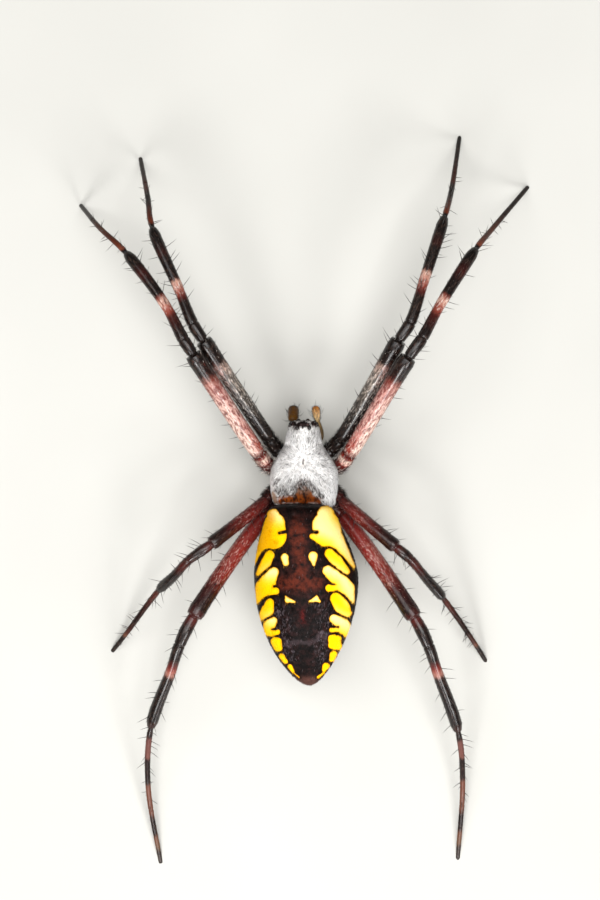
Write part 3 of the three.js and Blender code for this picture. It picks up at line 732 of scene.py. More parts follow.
abdomen = {
    "length": 18.2,
    "front": 0.05,
    "halfWidth": 5.13,
    "halfHeight": 4.05,
    "tailCap": 0.17,  # half width of the blunt tail, as a share of the abdomen's
    "widest": 0.4,
    "taper": 1.5,  # power with which it narrows and lowers towards its front, and how far it does
    "narrowed": 0.42,
    "lowered": 0.5,
    "sideways": (0.34, 0.58, 0.3),  # middle line across in front, its swing to the right, and the tail's
    "heights": (9.7, 1.4, 7.7),  # middle line's height in front, its fall to halfway, its height behind
    "pitDepth": 0.1,
    "pitReach": 0.22,
    "coatDepth": 0.03,
    "rows": 230,
    "sides": 240,
    # Yellow patches, each a chain of round brush touches (across, along, radius) in mm.
    "patches": [
        [(3.05, 1.35, 0.6), (2.9, 2.2, 1.03), (3.0, 3.4, 1.27), (3.5, 3.8, 0.9), (4.5, 4.7, 0.35),
         (4.95, 6.2, 0.12)],
        [(3.4, 5.32, 0.45), (3.75, 6.0, 0.5), (4.6, 7.2, 0.2)],
        [(3.02, 7.0, 0.5), (3.6, 8.0, 0.8), (3.95, 8.6, 0.9), (4.35, 9.2, 0.6), (4.7, 10.0, 0.2)],
        [(2.82, 8.87, 0.34), (3.8, 8.8, 0.6)],
        [(3.4, 10.05, 0.4), (3.62, 10.8, 0.6), (4.1, 11.45, 0.45)],
        [(3.0, 11.85, 0.35), (3.45, 12.35, 0.62), (3.5, 12.9, 0.55)],
        [(2.65, 12.98, 0.26), (3.3, 13.05, 0.42)],
        [(2.85, 14.0, 0.47), (2.62, 14.55, 0.43)],
        [(3.0, 13.76, 0.3), (2.52, 13.84, 0.26), (2.46, 14.6, 0.3)],
        [(2.25, 15.45, 0.28), (1.85, 15.98, 0.23)],
        [(1.4, 16.5, 0.24), (1.1, 17.0, 0.15)],
        [(0.95, 17.2, 0.05), (0.5, 17.6, 0.06)],
        [(-2.15, 1.25, 0.83), (-2.2, 2.4, 1.4), (-2.35, 3.05, 1.38), (-3.05, 3.7, 0.88), (-4.0, 5.0, 0.5),
         (-4.95, 6.5, 0.17)],
        [(-0.82, 3.42, 0.28), (-2.0, 3.75, 0.72)],
        [(-2.5, 5.15, 0.48), (-3.3, 5.95, 0.58), (-4.27, 6.95, 0.3)],
        [(-2.35, 6.85, 0.53), (-3.6, 7.9, 0.76), (-4.3, 8.7, 0.78), (-4.8, 9.9, 0.28)],
        [(-2.46, 8.56, 0.36), (-3.6, 8.3, 0.55)],
        [(-3.15, 9.6, 0.57), (-3.72, 10.35, 0.77), (-4.27, 11.0, 0.54)],
        [(-2.95, 11.62, 0.42), (-3.8, 12.2, 0.68), (-4.05, 12.6, 0.7), (-4.22, 13.25, 0.34)],
        [(-2.75, 12.78, 0.24), (-3.6, 12.6, 0.42)],
        [(-2.95, 13.8, 0.56), (-3.15, 14.2, 0.6), (-3.5, 14.5, 0.35)],
        [(-2.74, 14.35, 0.32), (-2.7, 13.56, 0.28), (-3.5, 13.62, 0.28)],
        [(-2.95, 15.32, 0.4), (-2.8, 15.75, 0.3)],
        [(-2.2, 16.5, 0.37), (-2.0, 16.85, 0.22)],
        [(-2.0, 17.1, 0.07), (-1.4, 17.6, 0.13)],
        [(1.9, 5.5, 0.37), (1.8, 6.05, 0.3)],
        [(-0.88, 5.38, 0.45), (-0.9, 5.65, 0.38)],
        [(-0.93, 5.9, 0.2), (-0.97, 6.25, 0.13)],
        [(1.78, 9.4, 0.1), (1.66, 9.75, 0.22), (1.7, 9.86, 0.16)],
        [(1.64, 9.72, 0.26), (1.25, 9.84, 0.18), (0.84, 9.94, 0.06)],
        [(-1.25, 9.28, 0.07), (-1.2, 9.62, 0.28), (-0.88, 9.78, 0.17), (-0.48, 9.88, 0.06)],
        [(-1.2, 9.66, 0.27), (-1.52, 9.86, 0.12)],
    ],
    # Dark notches and lines drawn over them in the same way.
    "lines": [
        [(1.6, 2.92, 0.16), (2.48, 3.12, 0.13)],
        [(2.4, 8.3, 0.16), (2.98, 8.42, 0.1)],
        [(2.45, 12.62, 0.08), (3.18, 12.74, 0.1)],
        [(-0.5, 3.0, 0.17), (-1.3, 3.03, 0.14)],
        [(-2.2, 8.06, 0.08), (-3.05, 8.22, 0.05)],
        [(-2.6, 12.42, 0.12), (-3.4, 12.48, 0.08)],
        [(3.0, 4.8, 0.05), (3.4, 4.68, 0.06), (3.95, 4.85, 0.06), (4.4, 5.6, 0.06), (4.85, 6.9, 0.08)],
        [(3.1, 6.45, 0.06), (3.6, 6.7, 0.06), (4.2, 7.25, 0.07), (4.85, 8.1, 0.08)],
        [(2.7, 9.35, 0.07), (3.5, 9.38, 0.08), (4.1, 9.75, 0.08), (4.5, 10.4, 0.07)],
        [(3.1, 11.3, 0.08), (3.6, 11.6, 0.08), (4.2, 12.0, 0.09)],
        [(2.4, 13.38, 0.08), (3.0, 13.45, 0.08), (3.5, 13.75, 0.08)],
        [(-1.9, 4.55, 0.06), (-2.6, 4.52, 0.06), (-3.1, 4.8, 0.06), (-3.9, 5.6, 0.06), (-4.6, 6.5, 0.09),
         (-5.0, 7.2, 0.15)],
        [(-2.3, 6.1, 0.06), (-3.0, 6.45, 0.06), (-3.8, 7.15, 0.06), (-4.4, 7.45, 0.08)],
        [(-2.6, 9.0, 0.07), (-3.3, 8.92, 0.07), (-4.0, 9.35, 0.07), (-4.6, 10.1, 0.1), (-4.9, 10.9, 0.15)],
        [(-2.6, 11.0, 0.08), (-3.5, 11.25, 0.07), (-4.3, 11.65, 0.08)],
        [(-2.4, 13.1, 0.07), (-3.2, 13.08, 0.07), (-3.9, 13.5, 0.08)],
    ],
    # Broken yellow streaks low on the flanks, and the two long stripes with dots under the belly.
    "flank": [(3.0, 5.7, 7.2), (5.6, 5.9, 7.8), (8.4, 5.9, 7.9), (11.0, 5.6, 7.4), (13.2, 5.0, 6.6)],
    "belly": [(1.5, 2.2, 0.28), (1.7, 5.0, 0.42), (1.45, 9.0, 0.36), (1.0, 13.0, 0.22)],
    # Tones brushed softly, and over how many mm they fade.
    "softness": {"maroon": 0.35, "redFlecks": 0.15, "sheen": 0.3, "golden": 0.6},
    "maroon": [[(0.6, 2.3, 0.3), (0.6, 3.0, 0.65), (0.7, 4.2, 0.5), (0.3, 5.6, 0.2), (0.4, 7.0, 0.4),
                (0.3, 7.9, 0.7)], [(2.3, 8.1, 0.25), (0.3, 8.1, 0.5), (-1.2, 8.0, 0.3)]],
    "redFlecks": [[(0.16, 10.9, 0.03), (0.14, 11.4, 0.05), (0.1, 11.9, 0.02)]],
    "sheen": [[(2.6, 10.4, 0.35), (2.1, 12.0, 0.5), (1.8, 14.0, 0.45), (1.2, 15.6, 0.2)],
              [(-1.5, 9.9, 0.3), (-2.1, 11.5, 0.4), (-2.0, 13.6, 0.5), (-1.6, 15.6, 0.3)]],
    # Cream over the yellow: mostly painted highlight on the shoulders and right edges of the big patches; the
    # small spots' pale tone is their own.
    "cream": [[(2.75, 1.0, 0.15), (2.4, 1.6, 0.1)],
              [(-1.8, 1.3, 0.6), (-1.9, 2.3, 0.8), (-3.2, 3.2, 0.5), (-4.3, 4.8, 0.3), (-5, 6, 0.2)],
              [(-2.3, 6.6, 0.3), (-3.8, 7.4, 0.25), (-5.0, 9.6, 0.4)], [(2.9, 6.9, 0.3), (3.5, 7.1, 0.15)],
              [(-2.8, 11.4, 0.3), (-4.4, 12.2, 0.4)], [(2.9, 11.7, 0.15), (3.3, 11.8, 0.1)],
              [(1.9, 5.5, 0.2), (1.8, 6.05, 0.1)], [(-0.88, 5.4, 0.2), (-0.95, 6.2, 0.1)],
              [(1.6, 9.6, 0.15), (0.95, 9.85, 0.05)], [(-0.5, 9.8, 0.05), (-1.3, 9.6, 0.15)]],
    # Painted shade: a deeper golden over the outer side of the first left patch; the lower flanks and the
    # belly take it too.
    "golden": [[(3.6, 1.5, 0.5), (4.1, 2.5, 0.7), (4.2, 4.0, 0.9), (3.2, 4.3, 0.5)]],
    "leftShadeLean": 0.45,  # how far all the left patches lean to the deeper golden tone, a painted shade
    "pits": [(0.99, 1.45), (1.95, 7.06), (-0.99, 7.06), (2.9, 3.87), (1.3, 10.6), (-1.3, 10.6)],
}


def abdomenPlace(row, radius, angle):
    along = np.clip(row, 0, 1)
    ahead = np.maximum(0, abdomen["widest"] - along) / abdomen["widest"]
    behind = np.maximum(0, along - abdomen["widest"]) / (1 - abdomen["widest"])
    blunt = fade(ahead, 40, 0.5) * np.hypot(fade(behind, 2, 0.75), abdomen["tailCap"] * fade(behind, 24, 0.5))
    taper = ahead ** abdomen["taper"]
    halfWidth, halfHeight = (
        np.maximum(abdomen[half] * blunt * (1 - abdomen[less] * taper) - abdomen["coatDepth"], 0)
        for half, less in (("halfWidth", "narrowed"), ("halfHeight", "lowered")))
    across, swing, tailSwing = abdomen["sideways"]
    high, fall, tailHeight = abdomen["heights"]
    x = across - swing * smoothStep(along, 0, 0.45) - tailSwing * behind ** 6
    y = waistY + abdomen["front"] + abdomen["length"] * along
    z = high - fall * smoothStep(along, 0, 0.5)
    z = z + (tailHeight - z) * smoothStep(along, 0.5, 1)
    x = x + radius * np.cos(angle) * halfWidth
    places = np.stack([x, y, z + radius * np.sin(angle) * halfHeight], axis=1)
    # Muscle pits along the back.
    for pitX, pitY in abdomen["pits"]:
        near = np.hypot(places[:, 0] - pitX, places[:, 1] - pitY)
        dent = abdomen["pitDepth"] * np.exp(-(near / abdomen["pitReach"]) ** 2)
        places[:, 2] -= np.where(np.sin(angle) > 0, dent, 0)
    return places


def abdomenMarks(body):
    places, angle = body["places"], body["angle"]
    x, y = places[:, 0], places[:, 1]
    # Across is the place seen from above; past the widest line it runs on down the flank.
    side = np.where(np.cos(angle) > 0, 1, -1)
    below = np.maximum(0, -np.arcsin(np.clip(np.sin(angle), -1, 1)))
    widest = x - side * (np.abs(np.cos(angle)) - 1) * np.maximum(np.abs(x), 0.01)
    across = np.where(below > 0, widest + side * below * abdomen["halfHeight"], x)
    patch = nearest(across, y, abdomen["patches"])
    for start, near, far in abdomen["flank"]:
        chain = [(near, start, 0.18), ((near + far) / 2, start + 1.0, 0.36), (far, start + 1.7, 0.16)]
        patch = np.minimum(patch, touchDistance(np.abs(across), y, chain))
    patch = np.where(np.sin(angle) < -0.75, touchDistance(np.abs(x), y, abdomen["belly"]), patch)
    top = np.sin(angle) > -0.3

    soft = {name: np.exp(-np.maximum(0, nearest(across, y, abdomen[name])) / width)
            for name, width in abdomen["softness"].items()}
    # Painted shade: the left side leans to the deeper golden tone.
    leftShade = abdomen["leftShadeLean"] * smoothStep(across, 1, 2.4)
    # Cream: mostly painted highlight, with the small spots' own paler pigment.
    cream = np.exp(-(np.maximum(0, nearest(across, y, abdomen["cream"]) + 0.35) / 0.7) ** 2)
    return {
        "yellowEdge": np.maximum(patch - 0.03, -nearest(across, y, abdomen["lines"])),
        "maroon": np.where(top, soft["maroon"], 0),
        "red": np.where(top, 0.7 * soft["redFlecks"], 0),
        "sheen": np.where(top, soft["sheen"], 0),
        "cream": np.where(top, cream, 0),
        "golden": np.where(top, np.maximum(soft["golden"], leftShade), 0.6),
        "rear": smoothStep(y, 9.5, 13),
        "tail": smoothStep(y, 17.2, 17.8),
    }


abdomenTones = {
    "dark": [(0.38, "#050202"), (0.5, "#0d0605"), (0.64, "#231110")],
    # Over the dark ground: the wrinkle tone is a painted highlight on the crests, and the sheen partly
    # painted.
    "overDark": {"maroon": "#501e11", "red": "#6a1512", "sheen": "#8d8088", "wrinkle": "#55474b",
                 "tail": "#5c3a32", "rim": "#0c0401"},
    "yellow": [(0, "#8a4a00"), (0.3, "#f0b000"), (1, "#fbd000")],  # from the patches' edge inwards
    # Over the yellow: the deeper gold is painted shade, worn a random mottle, and cream mostly painted
    # highlight.
    "overYellow": {"golden": "#d69b00", "worn": "#cf9c10", "cream": "#f8e4a0"},
    "paleDown": "#84787c",
}


def abdomenMaterials():
    # Soft, velvety cuticle: enamel-bright yellow pigment in sharp patches, matt dark brown between.
    made = []
    for name, hairy in (("abdomen cuticle", False), ("abdomen down", True)):
        material, tree = newMaterial(name)
        where = add(tree, "TexCoord").outputs["Object"]
        mark = {key: add(tree, "Attribute", attribute_name=key).outputs["Fac"]
                for key in ("yellowEdge", "maroon", "red", "sheen", "cream", "golden", "rear", "tail")}
        # The patches' edges wander by about 0.05 mm.
        ragged = add(tree, "TexNoise", {"Vector": where, "Scale": 1000 / 0.45, "Detail": 3})
        edge = add(tree, "Math", {0: ragged, 1: 0.16, 2: mark["yellowEdge"]}, operation="MULTIPLY_ADD")
        inside = add(tree, "MapRange", {"Value": edge, "From Min": 0.1, "From Max": 0.04},
                     interpolation_type="SMOOTHSTEP")
        depth = add(tree, "MapRange", {"Value": edge, "From Min": 0.06, "From Max": -0.14})
        mottle = add(tree, "TexNoise", {"Vector": where, "Scale": 1000 / 0.6, "Detail": 5, "Roughness": 0.65})
        redder = add(tree, "Math", {0: mottle, 1: 4, 2: -1.3}, operation="MULTIPLY_ADD")
        # A grey bloom lies over the rear half of the band: pale fine down, with its sheen painted into the
        # colour.
        drawn = add(tree, "VectorMath", {0: where, 1: (1, 0.5, 1)}, operation="MULTIPLY")
        streak = add(tree, "TexNoise", {"Vector": drawn, "Scale": 1000 / 0.3, "Detail": 4, "Roughness": 0.7,
                                        "Distortion": 0.8})
        bloom = add(tree, "MapRange", {"Value": streak, "From Min": 0.52, "From Max": 0.72, "To Max": 0.33})
        # Wrinkles run across the rear half, about a millimetre apart, and end in a brown cap. Their crests
        # are painted a paler grey, a painted highlight.
        wrinkle = add(tree, "TexWave", {"Vector": where, "Scale": 1000 / 18, "Distortion": 5, "Detail": 4,
                                        "Detail Scale": 2.5, "Detail Roughness": 0.65}, bands_direction="Y")
        ridge = add(tree, "Math", {0: wrinkle.outputs["Fac"], 1: mark["rear"]}, operation="MULTIPLY")
        factors = {"maroon": redder, "red": redder, "sheen": bloom, "tail": streak, "cream": depth}
        share = {key: add(tree, "Math", {0: mark[key], 1: factor}, operation="MULTIPLY", use_clamp=True)
                 for key, factor in factors.items()}
        # The cream, mostly painted highlight, is strongest deep inside the patches.
        share["cream"] = add(tree, "Math", {0: share["cream"], 1: 0.8}, operation="MULTIPLY")
        share["golden"] = mark["golden"]
        for key, value, low, high, most in (("wrinkle", ridge, 0.93, 1, 0.25),
                                            ("worn", mottle, 0.5, 0.7, 0.35)):
            share[key] = add(tree, "MapRange", {"Value": value, "From Min": low, "From Max": high,
                                                "To Max": most})
        # Patches have a near-black rim and a brown line just at their edge.
        share["rim"] = add(tree, "MapRange", {"Value": edge, "From Min": 0.1, "From Max": 0.35, "To Min": 0.9,
                                              "To Max": 0}, interpolation_type="SMOOTHSTEP")
        grounds = []
        for ground, value in (("dark", mottle), ("yellow", depth)):
            tone = add(tree, "ValToRGB", {"Fac": value}, stops=abdomenTones[ground])
            for key, over in abdomenTones["over" + ground.capitalize()].items():
                tone = add(tree, "Mix", {0: share[key], 6: tone, 7: linear(over)}, data_type="RGBA")
            grounds.append(tone)
        colour = add(tree, "Mix", {0: inside, 6: grounds[0], 7: grounds[1]}, data_type="RGBA")
        if hairy:
            chance = add(tree, "Attribute", attribute_name="chance").outputs["Fac"]
            silver = add(tree, "MapRange", {"Value": mark["sheen"], "To Min": 0.02, "To Max": 0.25})
            pale = add(tree, "Math", {0: chance, 1: silver}, operation="LESS_THAN")
            onDark = add(tree, "Math", {0: 1, 1: inside}, operation="SUBTRACT")
            pale = add(tree, "Math", {0: pale, 1: onDark}, operation="MULTIPLY")
            colour = add(tree, "Mix", {0: pale, 6: colour, 7: linear(abdomenTones["paleDown"])},
                         data_type="RGBA")
            look = {"Roughness": 0.5, "IOR": 1.5, "Specular IOR Level": 0.08}
        else:
            fleck = add(tree, "TexNoise", {"Vector": where, "Scale": 1000 / 0.16, "Detail": 2})
            height = add(tree, "Math", {0: ridge, 1: 1.5, 2: fleck}, operation="MULTIPLY_ADD")
            bump = add(tree, "Bump", {"Height": height, "Strength": 0.5, "Distance": 0.00008})
            shine = add(tree, "MapRange", {"Value": inside, "To Min": 0.07, "To Max": 0.05})
            look = {"Roughness": 0.45, "IOR": 1.45, "Specular IOR Level": shine, "Normal": bump}
        shader = add(tree, "BsdfPrincipled", {"Base Color": colour, **look})
        add(tree, "OutputMaterial", {"Surface": shader})
        made.append(material)
    return made


abdomenCoat = {"count": 14000, "length": (0.2, 0.42), "width": 0.024, "lift": (10, 40), "outward": 0.3,
               "stray": (0.25, 0.2)}  # across and upwards


def buildAbdomen():
    cuticle, down = abdomenMaterials()
    rows, radii = roundRows(abdomen["rows"])
    body = skin("abdomen_skin", rows, radii, abdomen["sides"], abdomenPlace, cuticle, "abdomen", ["abdomen"])
    setMarks(body["mesh"], abdomenMarks(body))

    count = abdomenCoat["count"]
    roots, normals, patches = scatter(body, count, lambda places, _: np.ones(len(places)))
    angle = patches[:, 0] * math.tau
    marks = abdomenMarks({"places": roots, "angle": angle})
    strayAcross, strayUp = abdomenCoat["stray"]
    outward = normals[:, 0] * abdomenCoat["outward"]
    lies = np.stack([outward, np.ones(count), draw.normal(0, strayUp, count)], axis=1)
    lies[:, 0] += draw.normal(0, strayAcross, count)
    hair = {"lie": lies, "length": draw.uniform(*abdomenCoat["length"], count), "width": abdomenCoat["width"],
            "lift": np.radians(draw.uniform(*abdomenCoat["lift"], count))}
    coat("abdomen_down", roots, normals, patches, hair, down, marks)


buildAbdomen()
print("abdomen built")

# Carapace, with its silver coat parted at the pit in the middle

carapace = {
    "length": 8.75,
    "front": -8.3,
    "outline": [(0, 1.5), (0.12, 1.68), (0.3, 2.0), (0.35, 2.32), (0.47, 2.92), (0.56, 3.26), (0.66, 3.4),
                (0.8, 3.36), (1, 3.15)],
    "floor": 7.05,
    "headTop": 9.35,
    "chestTop": 9.0,
    "middleX": 0.05,
    "frontRound": 0.12,  # shares of the length over which its ends are rounded off
    "rearRound": 0.26,
    "coatDepth": 0.07,
    "rows": 170,
    "sides": 200,
    "pitDip": (0.15, 0.12),  # depth and half width
    "grooveDip": (0.12, 0.25),
    "pit": [[(0.08, -4.4, 0.01), (0.1, -3.7, 0.05)]],
    "grooves": [[(0.3, -4.5, 0.08), (1.3, -5.5, 0.1), (2.0, -6.2, 0.1)],
                [(0.6, -3.8, 0.06), (2.2, -4.0, 0.1)],
                [(0.6, -3.4, 0.06), (2.4, -2.4, 0.1)]],
    # Bare shell behind: a wedge with its point forward, the band along the rear edge, and the left rim.
    "bare": [[(-0.14, -2.45, 0.02), (0.06, -1.85, 0.36), (0.08, -1.5, 0.5), (0.05, -1.1, 0.76),
              (0.05, -0.6, 1.06)],
             [(2.3, 0.45, 0.2), (2.4, -0.02, 0.34), (1.4, -0.12, 0.42), (-0.9, -0.16, 0.42),
              (-1.5, 0.0, 0.28), (-1.6, 0.45, 0.25), (2.3, 0.45, 0.25)]],
    "rim": [[(3.34, -1.2, 0.05), (3.1, -0.55, 0.28), (2.95, 0.25, 0.3)]],
    # Where the coat is thin and the shell shows as dark grey streaks.
    "thin": [[(0.9, -7.25, 0.12), (1.02, -6.95, 0.1)], [(2.5, -2.25, 0.12), (2.95, -1.75, 0.16)],
             [(2.7, -1.1, 0.2), (1.9, -0.85, 0.3)], [(-1.25, -1.1, 0.12), (-1.75, -0.5, 0.16)],
             [(0.4, -2.1, 0.1), (1.1, -1.3, 0.12)], [(-0.45, -2.0, 0.1), (-1.1, -1.2, 0.15)]],
    # Dark skin round the eyes, and the few pinkish hairs between them.
    "pigment": [[(1.55, -7.6, 0.15), (1.4, -7.74, 0.22), (1.15, -7.78, 0.24), (0.9, -7.7, 0.18)],
                [(-0.78, -7.72, 0.18), (-1.1, -7.78, 0.24), (-1.35, -7.74, 0.22), (-1.5, -7.62, 0.15)],
                [(0.6, -7.62, 0.18), (0.3, -7.72, 0.24), (0.0, -7.72, 0.26), (-0.35, -7.62, 0.2)],
                [(0.55, -7.55, 0.15), (0.66, -7.36, 0.17)], [(-0.35, -7.55, 0.13), (-0.54, -7.38, 0.17)],
                [(0.14, -7.5, 0.07), (0.15, -7.3, 0.05)],
                [(0.7, -8.1, 0.12), (0.1, -8.1, 0.1), (-0.6, -8.1, 0.12)]],
    "brow": [[(0.5, -7.92, 0.1), (0.22, -7.97, 0.09)], [(-0.2, -7.98, 0.1), (-0.58, -7.86, 0.13)],
             [(0.74, -7.9, 0.05), (0.72, -7.6, 0.05)], [(-0.66, -7.75, 0.06), (-0.6, -7.6, 0.05)]],
    # How strong each mark is at its chains' edge, and over how many mm it fades.
    "marks": {"pigment": (1, 0.1), "brow": (1, 0.05), "thin": (1, 0.2), "bare": (0.5, 0.4), "rim": (0.5, 0.2),
              "pit": (1, 0.04)},
}
eyes = {
    "middleX": 0.08,
    "rows": [("front_middle", 0.46, -8.25, 8.3, 0.2), ("rear_middle", 0.6, -7.5, 9.15, 0.2),
             ("front_side", 1.18, -8.05, 8.3, 0.16), ("rear_side", 1.32, -7.75, 8.4, 0.16)],
}


def carapacePlace(row, radius, angle):
    along = np.clip(row, 0, 1)
    frontRound, rearRound = carapace["frontRound"], carapace["rearRound"]
    front = fade(np.maximum(0, frontRound - along) / frontRound, 10, 0.5)
    rear = fade(np.maximum(0, along - (1 - rearRound)) / rearRound, 9, 0.45)
    spots = np.linspace(0, 1, 301)
    widths = smoothed(np.interp(spots, *zip(*carapace["outline"])), 15)
    halfWidth = np.interp(along, spots, widths) * front * rear
    crest = carapace["headTop"] + (carapace["chestTop"] - carapace["headTop"]) * smoothStep(along, 0.25, 0.5)
    above = (crest - carapace["floor"]) * (1 - 0.65 * smoothStep(along, 0.62, 1)) * front * rear
    depth = carapace["coatDepth"]
    x = carapace["middleX"] + radius * np.cos(angle) * np.maximum(halfWidth - depth, 0)
    y = waistY + carapace["front"] + carapace["length"] * along
    up = radius * np.sin(angle)
    z = carapace["floor"] + np.where(up > 0, up * np.maximum(above - depth, 0), up * 0.02)
    dips = ((nearest(np.abs(x - carapace["middleX"]), y, carapace["grooves"]), *carapace["grooveDip"]),
            (nearest(x, y, carapace["pit"]), *carapace["pitDip"]))
    dip = sum(deep * np.exp(-(np.maximum(gap, 0) / reach) ** 2) for gap, deep, reach in dips)
    z = np.where(up > 0.2, np.maximum(z - dip * smoothStep(up, 0.2, 0.6), carapace["floor"]), z)
    return np.stack([x, y, z], axis=1)


def carapaceMarks(places):
    x, y = places[:, 0], places[:, 1]
    return {name: np.clip(strength - nearest(x, y, carapace[name]) / width, 0, 1)
            for name, (strength, width) in carapace["marks"].items()}


def carapaceMaterial():
    # Hard shell: dark grey under the coat, and brown and shiny where it is bare.
    material, tree = newMaterial("carapace shell")
    where = add(tree, "TexCoord").outputs["Object"]
    mark = {key: add(tree, "Attribute", attribute_name=key).outputs["Fac"]
            for key in ("pigment", "bare", "rim", "pit", "thin")}
    fine = add(tree, "TexNoise", {"Vector": where, "Scale": 1000 / 0.25, "Detail": 3})
    grey = add(tree, "ValToRGB", {"Fac": fine},
               stops=[(0.36, "#3a3433"), (0.45, "#8d8783"), (0.52, "#cdc8c4")])
    share = add(tree, "Math", {0: mark["thin"], 1: 0.7}, operation="MULTIPLY")
    grey = add(tree, "Mix", {0: share, 6: grey, 7: linear("#2b2627")}, data_type="RGBA")
    # Streaks run back along the bare wedge, from near black at its point to orange-brown at the rear edge.
    drawn = add(tree, "VectorMath", {0: where, 1: (1, 0.22, 1)}, operation="MULTIPLY")
    streak = add(tree, "TexNoise", {"Vector": drawn, "Scale": 1000 / 0.24, "Detail": 3, "Roughness": 0.65})
    depth = add(tree, "SeparateXYZ", {"Vector": where}).outputs["Y"]
    streaky = add(tree, "Math", {0: streak, 1: 0.002, 2: depth}, operation="MULTIPLY_ADD")
    along = add(tree, "MapRange", {"Value": streaky, "From Min": -0.0014, "From Max": 0.0016})
    brown = add(tree, "ValToRGB", {"Fac": along},
                stops=[(0, "#1b1210"), (0.2, "#3b2a24"), (0.38, "#6e564a"), (0.5, "#866a5a"),
                       (0.6, "#824c2c"), (0.7, "#8a4410"), (0.84, "#96490f"), (0.95, "#5e2607"),
                       (1, "#3a1a0a")])
    shade = add(tree, "ValToRGB", {"Fac": streak},
                stops=[(0.4, "#5a4c48"), (0.5, "#d8ccc6"), (0.62, "#ffffff")])
    brown = add(tree, "Mix", {0: 1, 6: brown, 7: shade}, data_type="RGBA",
                blend_type="MULTIPLY")
    # Painted shade: the rear hem, where the shell turns down against the abdomen, is near black and matt.
    shadedHem = add(tree, "MapRange", {"Value": depth, "From Min": 0.0003, "From Max": 0.0005})
    brown = add(tree, "Mix", {0: shadedHem, 6: brown, 7: linear("#0e0604")}, data_type="RGBA")
    edge = add(tree, "ValToRGB", {"Fac": along}, stops=[(0, "#b9a598"), (0.5, "#957a68"), (1, "#7c5c48")])
    eyeSkin = add(tree, "ValToRGB", {"Fac": fine},
                  stops=[(0.42, "#0e0807"), (0.56, "#1c1110"), (0.7, "#443433")])
    colour = grey
    for key, over in (("bare", brown), ("rim", edge), ("pit", linear("#241716")),
                      ("pigment", eyeSkin)):
        colour = add(tree, "Mix", {0: mark[key], 6: colour, 7: over}, data_type="RGBA")
    bump = add(tree, "Bump", {"Height": fine, "Strength": 0.4, "Distance": 0.00004})
    rough = add(tree, "MapRange", {"Value": mark["pigment"], "To Min": 0.35, "To Max": 0.7})
    matt = add(tree, "Math", {0: mark["pigment"], 1: shadedHem}, operation="MAXIMUM")
    shine = add(tree, "MapRange", {"Value": matt, "To Min": 0.5, "To Max": 0.06})
    shader = add(tree, "BsdfPrincipled", {"Base Color": colour, "Roughness": rough, "IOR": 1.5,
                                          "Specular IOR Level": shine, "Normal": bump})
    add(tree, "OutputMaterial", {"Surface": shader})
    return material


def silverMaterial():
    # Flat, glassy silver-white hairs: a few are grey; on the left many turn pinkish grey, a painted shade,
    # and those between the eyes are pinkish.
    material, tree = newMaterial("silver-white hair")
    chance, reach, pinkAndShade, dusk = (add(tree, "Attribute", attribute_name=key).outputs["Fac"]
                                 for key in ("chance", "reach", "pinkAndShade", "dusk"))
    colour = add(tree, "ValToRGB", {"Fac": chance}, stops=[
        (0, "#3c3635"), (0.07, "#4a4442"), (0.09, "#98918e"), (0.12, "#e0dcd9"), (0.2, "#f4f2f0"),
        (1, "#fdfcfb")])
    # Painted shade: each hair is greyer towards its root.
    root = add(tree, "MapRange", {"Value": reach, "From Max": 0.3, "To Min": 0.15, "To Max": 0})
    for share, tone in ((pinkAndShade, "#c3b1ab"), (root, "#a39c99"), (dusk, "#3b302c")):
        colour = add(tree, "Mix", {0: share, 6: colour, 7: linear(tone)}, data_type="RGBA")
    # Light wanders through the thin white hairs, so they shade like the skin that they lie on.
    skinWay = add(tree, "Attribute", attribute_name="skinWay").outputs["Vector"]
    own = add(tree, "NewGeometry").outputs["Normal"]
    way = add(tree, "VectorMath", {0: skinWay, 1: (3.5, 3.5, 3.5), 2: own}, operation="MULTIPLY_ADD")
    way = add(tree, "VectorMath", {0: way}, operation="NORMALIZE")
    shader = add(tree, "BsdfPrincipled", {"Base Color": colour, "Roughness": 0.5, "IOR": 1.5,
                                          "Specular IOR Level": 0.35, "Normal": way})
    add(tree, "OutputMaterial", {"Surface": shader})
    return material


carapaceCoat = {
    "count": 19500,
    "length": (0.26, 0.52),
    "browLength": 0.14,
    "width": (0.028, 0.05),
    "lift": (3, 20),
    "rightLift": 12,  # the hair stands up more on the right, and is longer by this share
    "rightLonger": 0.5,
    "locks": 900,
    "lockReach": 0.6,
    "swirl": 0.22,
    "flow": 1.1,  # how far a hair follows the flow rather than its lock, and how far it strays
    "stray": 0.3,
    "flecks": 0.065,  # shares of dark hairs: over the middle, round the wedge, and where the coat is thin
    "wedgeFlecks": 0.45,
    "thinFlecks": 0.4,
}


def carapaceFlow(places):
    # Hairs lie away from the pit, forward over the head and backward towards the rear edge.
    x, y = places[:, 0], places[:, 1]
    lies = unit(np.stack([x - 0.1, (y + 4.0) * 0.9, np.zeros(len(x))], axis=1))
    forward = smoothStep(-y, 4.4, 6.5)[:, None]
    backward = smoothStep(y, -3.6, -1.5)[:, None]
    lies = lies * (1 - 0.8 * forward) + np.array([0, -1, 0]) * forward
    return lies * (1 - 0.5 * backward) + np.array([0, 1, 0]) * 0.5 * backward


def coatShare(places):
    marks = carapaceMarks(places)
    # The hair thins out over the bare wedge.
    bare = marks["bare"] * np.interp(places[:, 1], [-2.2, -1.0, -0.5], [0.6, 0.75, 1])
    covered = 1 - np.maximum.reduce([marks["pigment"], bare, marks["rim"] * 0.9, marks["pit"]])
    return np.maximum(covered * (places[:, 1] > -7.9), 0.5 * marks["brow"]) * (1 - 0.6 * marks["thin"])


